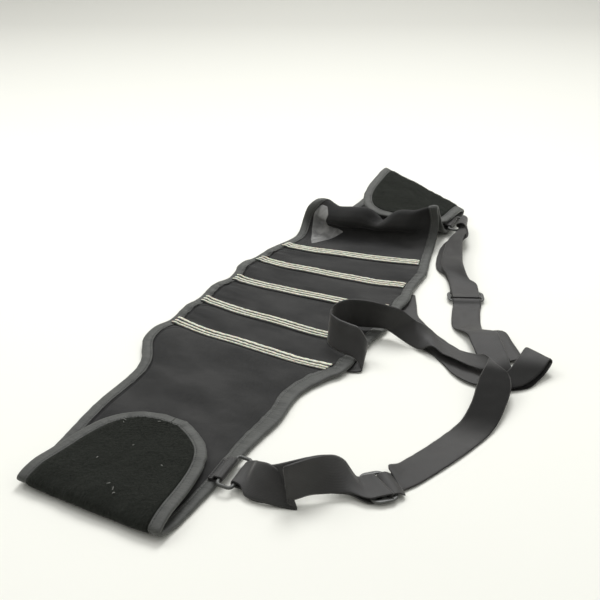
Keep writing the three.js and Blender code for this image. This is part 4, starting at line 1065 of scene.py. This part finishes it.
near_strap, near_m, near_sn, near_sd, near_len = strap("near_strap_webbing", strap_route(NEAR_DOUBLE, NEAR_SLIDER, NEAR_SINGLE, 0.42, 13), "near_strap", 1, near_painted_shade)
far_strap, far_m, far_sn, far_sd, far_len = strap("far_strap_webbing", strap_route(FAR_DOUBLE, FAR_SLIDER, FAR_SINGLE), "far_strap", 2, far_painted_shade)


def pleat(name, inner, outer):
    """The tucked fold of a strap, whose edge shows beside the run lying over it."""
    x = np.linspace(0, len(inner) - 1, 44)
    a, b = crom(np.array(inner, float), x), crom(np.array(outer, float), x)
    m = (a + b) / 2
    length = np.concatenate([[0], np.cumsum(np.linalg.norm(np.diff(m, axis=0), axis=1))])
    n = unit(np.cross(np.gradient(m, axis=0), b - a))
    n = n * np.sign(n[:, 2:3])
    f = np.linspace(0, 1, 14)
    roll = 1.1 * ss(f, 0.55, 1.0) ** 2
    sect = [(q, STRAP_T / 2 - r) for q, r in zip(f, roll)] + [(q, -STRAP_T / 2 - r * 0.6) for q, r in zip(f[::-1], roll[::-1])]
    st = np.stack([a * (1 - q) + b * q + n * z for q, z in sect], 1)
    uv = np.stack([np.stack([np.full(len(x), q * 17.0), length], -1) for q, z in sect], 1)
    ob = add_mesh(name, st.reshape(-1, 3), sweep_faces(len(x), len(sect)), WEBBING, uv=uv)
    return made(ob, "webbing")


pleat(
    "far_strap_tuck",
    [(236.6, 8.0, 6.0), (241.7, 5.7, 5.8), (256.2, -13.5, 4.6), (270.4, -31.4, 3.3), (279.9, -44.3, 3.2)],
    [(251.1, 16.9, 6.6), (256.7, 14.6, 6.4), (270.1, -2.8, 5.2), (283.1, -19.0, 3.9), (291.9, -32.3, 3.8)],
)


# ------------------------------------------------------------------ rings, sliders, tabs
def ring(name, spec, cad):
    x, y, z, yaw, slope = spec
    d, s = way(yaw), math.radians(slope)
    t = np.array([-d[1], d[0], 0])
    t = t if t[0] >= 0 else -t
    t = t * math.cos(s) + np.array([0, 0, math.sin(s)])
    n = unit(np.cross(t, d))
    r, hl, hd = 4.0, RING_L / 2 - RING_BAR / 2, RING_D / 2
    pts, out = [], []
    for cx, cy, a0 in ((hl - r, hd - r, 0), (-hl + r, hd - r, 90), (-hl + r, -hd + r, 180), (hl - r, -hd + r, 270)):
        for a in np.radians(a0 + np.linspace(0, 90, 10)):
            o = d * math.cos(a) + t * math.sin(a)
            pts.append(np.array([x, y, z]) + d * cx + t * cy + o * r)
            out.append(o)
    pts, out = np.array(pts), np.array(out)
    ang = np.arange(16) * math.pi / 8
    # flattened moulded bar
    prof = [(1.02 * math.copysign(abs(math.cos(a)) ** 0.8, math.cos(a)), math.copysign(abs(math.sin(a)) ** 0.8, math.sin(a))) for a in ang]
    st = np.stack([pts + out * (p * RING_BAR / 2) + n * (q * RING_BAR / 2 * 0.95) for p, q in prof], 1)
    nu, nv = st.shape[:2]
    i, j = np.meshgrid(np.arange(nu), np.arange(nv), indexing="ij")
    f = np.stack([i * nv + j, i * nv + (j + 1) % nv, (i + 1) % nu * nv + (j + 1) % nv, (i + 1) % nu * nv + j], -1).reshape(-1, 4)
    return made(add_mesh(name, st.reshape(-1, 3), [f], PLASTIC), "plastic", cad)


ring("near_ring_moulded", NEAR_RING, "near_ring")
ring("far_ring_moulded", FAR_RING, "far_ring")


def slider(name, spec, cad):
    x, y, z, yaw = spec
    hl, hd, b = SLIDER_L / 2, SLIDER_D / 2, SLIDER_BAR
    edge = 0.7
    cu = bpy.data.curves.new(name, "CURVE")
    cu.dimensions, cu.fill_mode = "2D", "BOTH"
    cu.extrude, cu.bevel_depth, cu.bevel_resolution = (SLIDER_T / 2 - edge) * MM, edge * MM, 3

    def oval(x0, x1, y0, y1, r):
        pts = []
        for cx, cy, a0 in ((x1 - r, y0 + r, -90), (x1 - r, y1 - r, 0), (x0 + r, y1 - r, 90), (x0 + r, y0 + r, 180)):
            for a in np.radians(a0 + np.linspace(0, 90, 9)):
                pts.append((cx + r * math.cos(a), cy + r * math.sin(a)))
        sp = cu.splines.new("POLY")
        sp.points.add(len(pts) - 1)
        for p, q in zip(sp.points, pts):
            p.co = (q[0] * MM, q[1] * MM, 0, 1)
        sp.use_cyclic_u = True

    oval(-hl + edge, hl - edge, -hd + edge, hd - edge, 9 - edge)
    for s in (-1, 1):
        y0, y1 = b / 2 - edge, hd - b + edge
        oval(-hl + 4.3 - edge, hl - 4.3 + edge, y0 if s > 0 else -y1, y1 if s > 0 else -y0, 1.5 + edge)
    tmp = bpy.data.objects.new(name + "_outline", cu)
    scene.collection.objects.link(tmp)
    me = bpy.data.meshes.new_from_object(tmp.evaluated_get(bpy.context.evaluated_depsgraph_get()))
    bpy.data.objects.remove(tmp)
    bpy.data.curves.remove(cu)
    d = way(yaw)
    t = np.array([-d[1], d[0], 0])
    co = np.zeros(len(me.vertices) * 3)
    me.vertices.foreach_get("co", co)
    co = co.reshape(-1, 3)
    co = co[:, :1] * d + co[:, 1:2] * t + co[:, 2:] * np.array([0, 0, 1.0]) + np.array([x, y, z]) * MM
    me.vertices.foreach_set("co", co.ravel())
    bm = bmesh.new()
    bm.from_mesh(me)
    bmesh.ops.remove_doubles(bm, verts=bm.verts, dist=1e-6)
    bmesh.ops.recalc_face_normals(bm, faces=bm.faces)
    bm.to_mesh(me)
    bm.free()
    me.name = name
    me.materials.clear()
    me.materials.append(PLASTIC)
    me.polygons.foreach_set("use_smooth", np.ones(len(me.polygons), bool))
    me.set_sharp_from_angle(angle=math.radians(50))
    ob = bpy.data.objects.new(name, me)
    scene.collection.objects.link(ob)
    return made(ob, "plastic", cad)


slider("near_slider_moulded", NEAR_SLIDER, "near_slider")
slider("far_slider_moulded", FAR_SLIDER, "far_slider")


def ring_tab(name, spec, reach, lower, cad):
    x, y, z, yaw, slope = spec
    d, s, tb = way(yaw), math.radians(slope), 1.2
    t = np.array([-d[1], d[0], 0])
    t = t if t[0] >= 0 else -t
    up = np.array([0, 0, 1.0])
    bar = np.array([x, y, z]) - t * (RING_D / 2 * math.cos(s)) - up * (RING_D / 2 * math.sin(s))
    r = RING_BAR / 2 + GAP + tb / 2
    z0 = lower - bar[2] + tb / 2
    z1 = z0 + tb + 0.5
    path = [(-reach, z1), (-reach * 0.6, z1), (-r * 2.2, max(z1, r * 0.75))]
    path += [(r * math.cos(a), r * math.sin(a)) for a in np.radians([120, 90, 60, 30, 0, -30, -60, -90])]
    path += [(-r * 2, min(z0, -r * 0.3)), (-reach * 0.6, z0), (-reach, z0)]
    path = np.array([(a, h, 0.0) for a, h in path])
    q = crom(path, np.linspace(0, len(path) - 1, (len(path) - 1) * 6 + 1))
    length = np.concatenate([[0], np.cumsum(np.linalg.norm(np.diff(q, axis=0), axis=1))])
    g = unit(np.gradient(q, axis=0))
    nrm = np.stack([-g[:, 1], g[:, 0]], -1)
    across = np.linspace(-TAB_W / 2, TAB_W / 2, 19)
    sect = [(-TAB_W / 2, 0.0)] + [(v, 1.0) for v in across[1:-1]] + [(TAB_W / 2, 0.0)] + [(v, -1.0) for v in across[1:-1][::-1]]
    st, uv = [], []
    for v, h in sect:
        a = q[:, 0] + nrm[:, 0] * h * tb / 2
        b = q[:, 1] + nrm[:, 1] * h * tb / 2
        st.append(bar + a[:, None] * t + b[:, None] * up + d * v)
        uv.append(np.stack([np.full(len(a), v), length], -1))
    st, uv = np.stack(st, 1), np.stack(uv, 1)
    ob = made(add_mesh(name, st.reshape(-1, 3), sweep_faces(*st.shape[:2]), WEBBING, uv=uv), "webbing", cad)
    # bar tacks through the two layers
    top = z1 + tb / 2
    for k, a in enumerate((-reach + 1.6, -reach * 0.62)):
        line = np.array([bar + t * a + up * top + d * v for v in np.linspace(-16, 16, 40)])
        made(threads("%s_tack_%d" % (name, k + 1), line, np.broadcast_to(up, line.shape), 1.5, 2.2, 0.26, THREAD, lift=0.15, zig=1.8), "webbing")
    return ob


ring_tab("near_ring_tab_webbing", NEAR_RING, 12.5, 5.3, "near_ring_tab")
ring_tab("far_ring_tab_webbing", FAR_RING, 17, 8.6, "far_ring_tab")


# ------------------------------------------------------------------ lint on the near pile
def lint(name, spots, seed):
    g = np.random.default_rng(seed)
    verts, faces = [], []
    for fi, fj, size in spots:
        i, j = int(fi * (near_out.shape[0] - 1)), int(fj * (near_out.shape[1] - 1))
        o, up = near_out[i, j], -near_n[i, j]
        a = unit(np.cross(up, g.normal(size=3)))
        b = np.cross(up, a)
        t = np.linspace(-1, 1, 7)
        bend = g.uniform(-0.6, 0.6)
        c = o + a * (t * size / 2)[:, None] + b * ((t**2 - 0.3) * bend * size / 2)[:, None] + up * (0.5 + 0.35 * (1 - t**2))[:, None]
        tan = unit(np.gradient(c, axis=0))
        side = unit(np.cross(tan, up))
        ang = np.arange(5) * 2 * math.pi / 5
        fat = 0.2 * np.array([0.4, 0.9, 1, 1, 1, 0.9, 0.4])
        ringp = c[:, None] + (side[:, None] * np.cos(ang)[None, :, None] + up * np.sin(ang)[None, :, None]) * fat[:, None, None]
        base = sum(len(v) for v in verts)
        verts.append(ringp.reshape(-1, 3))
        faces.append(grid_faces(7, 5, base, close=True))
    return made(add_mesh(name, np.concatenate(verts), [np.concatenate(faces)], LINT, turn=False), "closure_pile")


lint("near_pile_lint", [(0.36, 0.07, 4.5), (0.38, 0.10, 3.0), (0.86, 0.62, 5.0), (0.84, 0.57, 4.0), (0.88, 0.66, 3.0), (0.17, 0.33, 3.5), (0.55, 0.45, 2.5), (0.7, 0.3, 2.4), (0.62, 0.8, 2.6)], 71)


# ------------------------------------------------------------------ floor and light
def floor_material():
    m = Mat("pale_floor", rough=0.9, Specular_IOR_Level=0.1)
    cloud = m.noise(m.scaled(m.obj, 2.0, 2.0, 2.0), 1.0, 2, 0.5)
    pale = m.ramp(cloud, [(0.3, (0.90, 0.902, 0.845)), (0.7, (0.915, 0.917, 0.86))])
    # painted shade: the floor colour darkens towards the back of the scene, standing in for light falling off there
    painted_falloff = node(m.nt, "ShaderNodeVectorMath", _operation="DOT_PRODUCT")
    painted_falloff.inputs[1].default_value = Vector((-0.46, 0.888, 0))
    m.link(m.obj, painted_falloff.inputs[0])
    m.colour(m.mix(m.fit(painted_falloff.outputs["Value"], 0.2, 1.7, 0.0, 1.0), pale, (0.56, 0.558, 0.52)))
    return m.m


xs = np.concatenate([[-6000.0], np.linspace(-2500, 2500, 6), [6000.0]])
profile = [(-4000.0, -0.5), (2600.0, -0.5)] + [(2600 + 900 * math.sin(a), -0.5 + 900 * (1 - math.cos(a))) for a in np.radians(np.linspace(7.5, 90, 12))] + [(3500.0, 4000.0)]
pts = np.array([[x, y, z] for x in xs for y, z in profile])
floor = add_mesh("floor", pts, [grid_faces(len(xs), len(profile))], floor_material(), turn=False)
turnz = Matrix.Rotation(math.radians(27.4), 4, "Z")
floor.data.transform(turnz)

world = bpy.data.worlds.new("studio")
scene.world = world
world.use_nodes = True
wt = world.node_tree
bg = wt.nodes["Background"]
bg.inputs[1].default_value = 1.0
sky = node(wt, "ShaderNodeVectorMath", _operation="DOT_PRODUCT")
sky.inputs[1].default_value = Vector((-0.30, 0.52, 0.80)).normalized()
wt.links.new(node(wt, "ShaderNodeTexCoord").outputs["Generated"], sky.inputs[0])
shade = node(wt, "ShaderNodeMapRange", _interpolation_type="SMOOTHSTEP")
for key, value in (("From Min", -0.5), ("From Max", 0.95), ("To Min", 0.0), ("To Max", 1.0)):
    shade.inputs[key].default_value = value
wt.links.new(sky.outputs["Value"], shade.inputs["Value"])
tone = node(wt, "ShaderNodeMix", _data_type="RGBA")
tone.inputs[6].default_value = (0.28, 0.277, 0.262, 1)
tone.inputs[7].default_value = (0.80, 0.80, 0.79, 1)
wt.links.new(shade.outputs[0], tone.inputs[0])
wt.links.new(tone.outputs[2], bg.inputs[0])


def area(name, at, to, size, watts, colour=(1, 1, 1)):
    li = bpy.data.lights.new(name, "AREA")
    li.shape, li.size, li.energy, li.color = "DISK", size, watts, colour
    ob = bpy.data.objects.new(name, li)
    scene.collection.objects.link(ob)
    at, to = Vector(at), Vector(to)
    ob.matrix_world = Matrix.Translation(at) @ (to - at).to_track_quat("-Z", "Y").to_matrix().to_4x4()


area("top_back", (-0.5, 1.6, 2.4), (0.05, 0, 0), 1.5, 54)
area("key_left", (-1.7, 0.1, 2.0), (0, 0, 0), 1.4, 13)

scene.view_settings.view_transform = "Standard"
scene.view_settings.look = "None"
scene.view_settings.exposure = 0.0
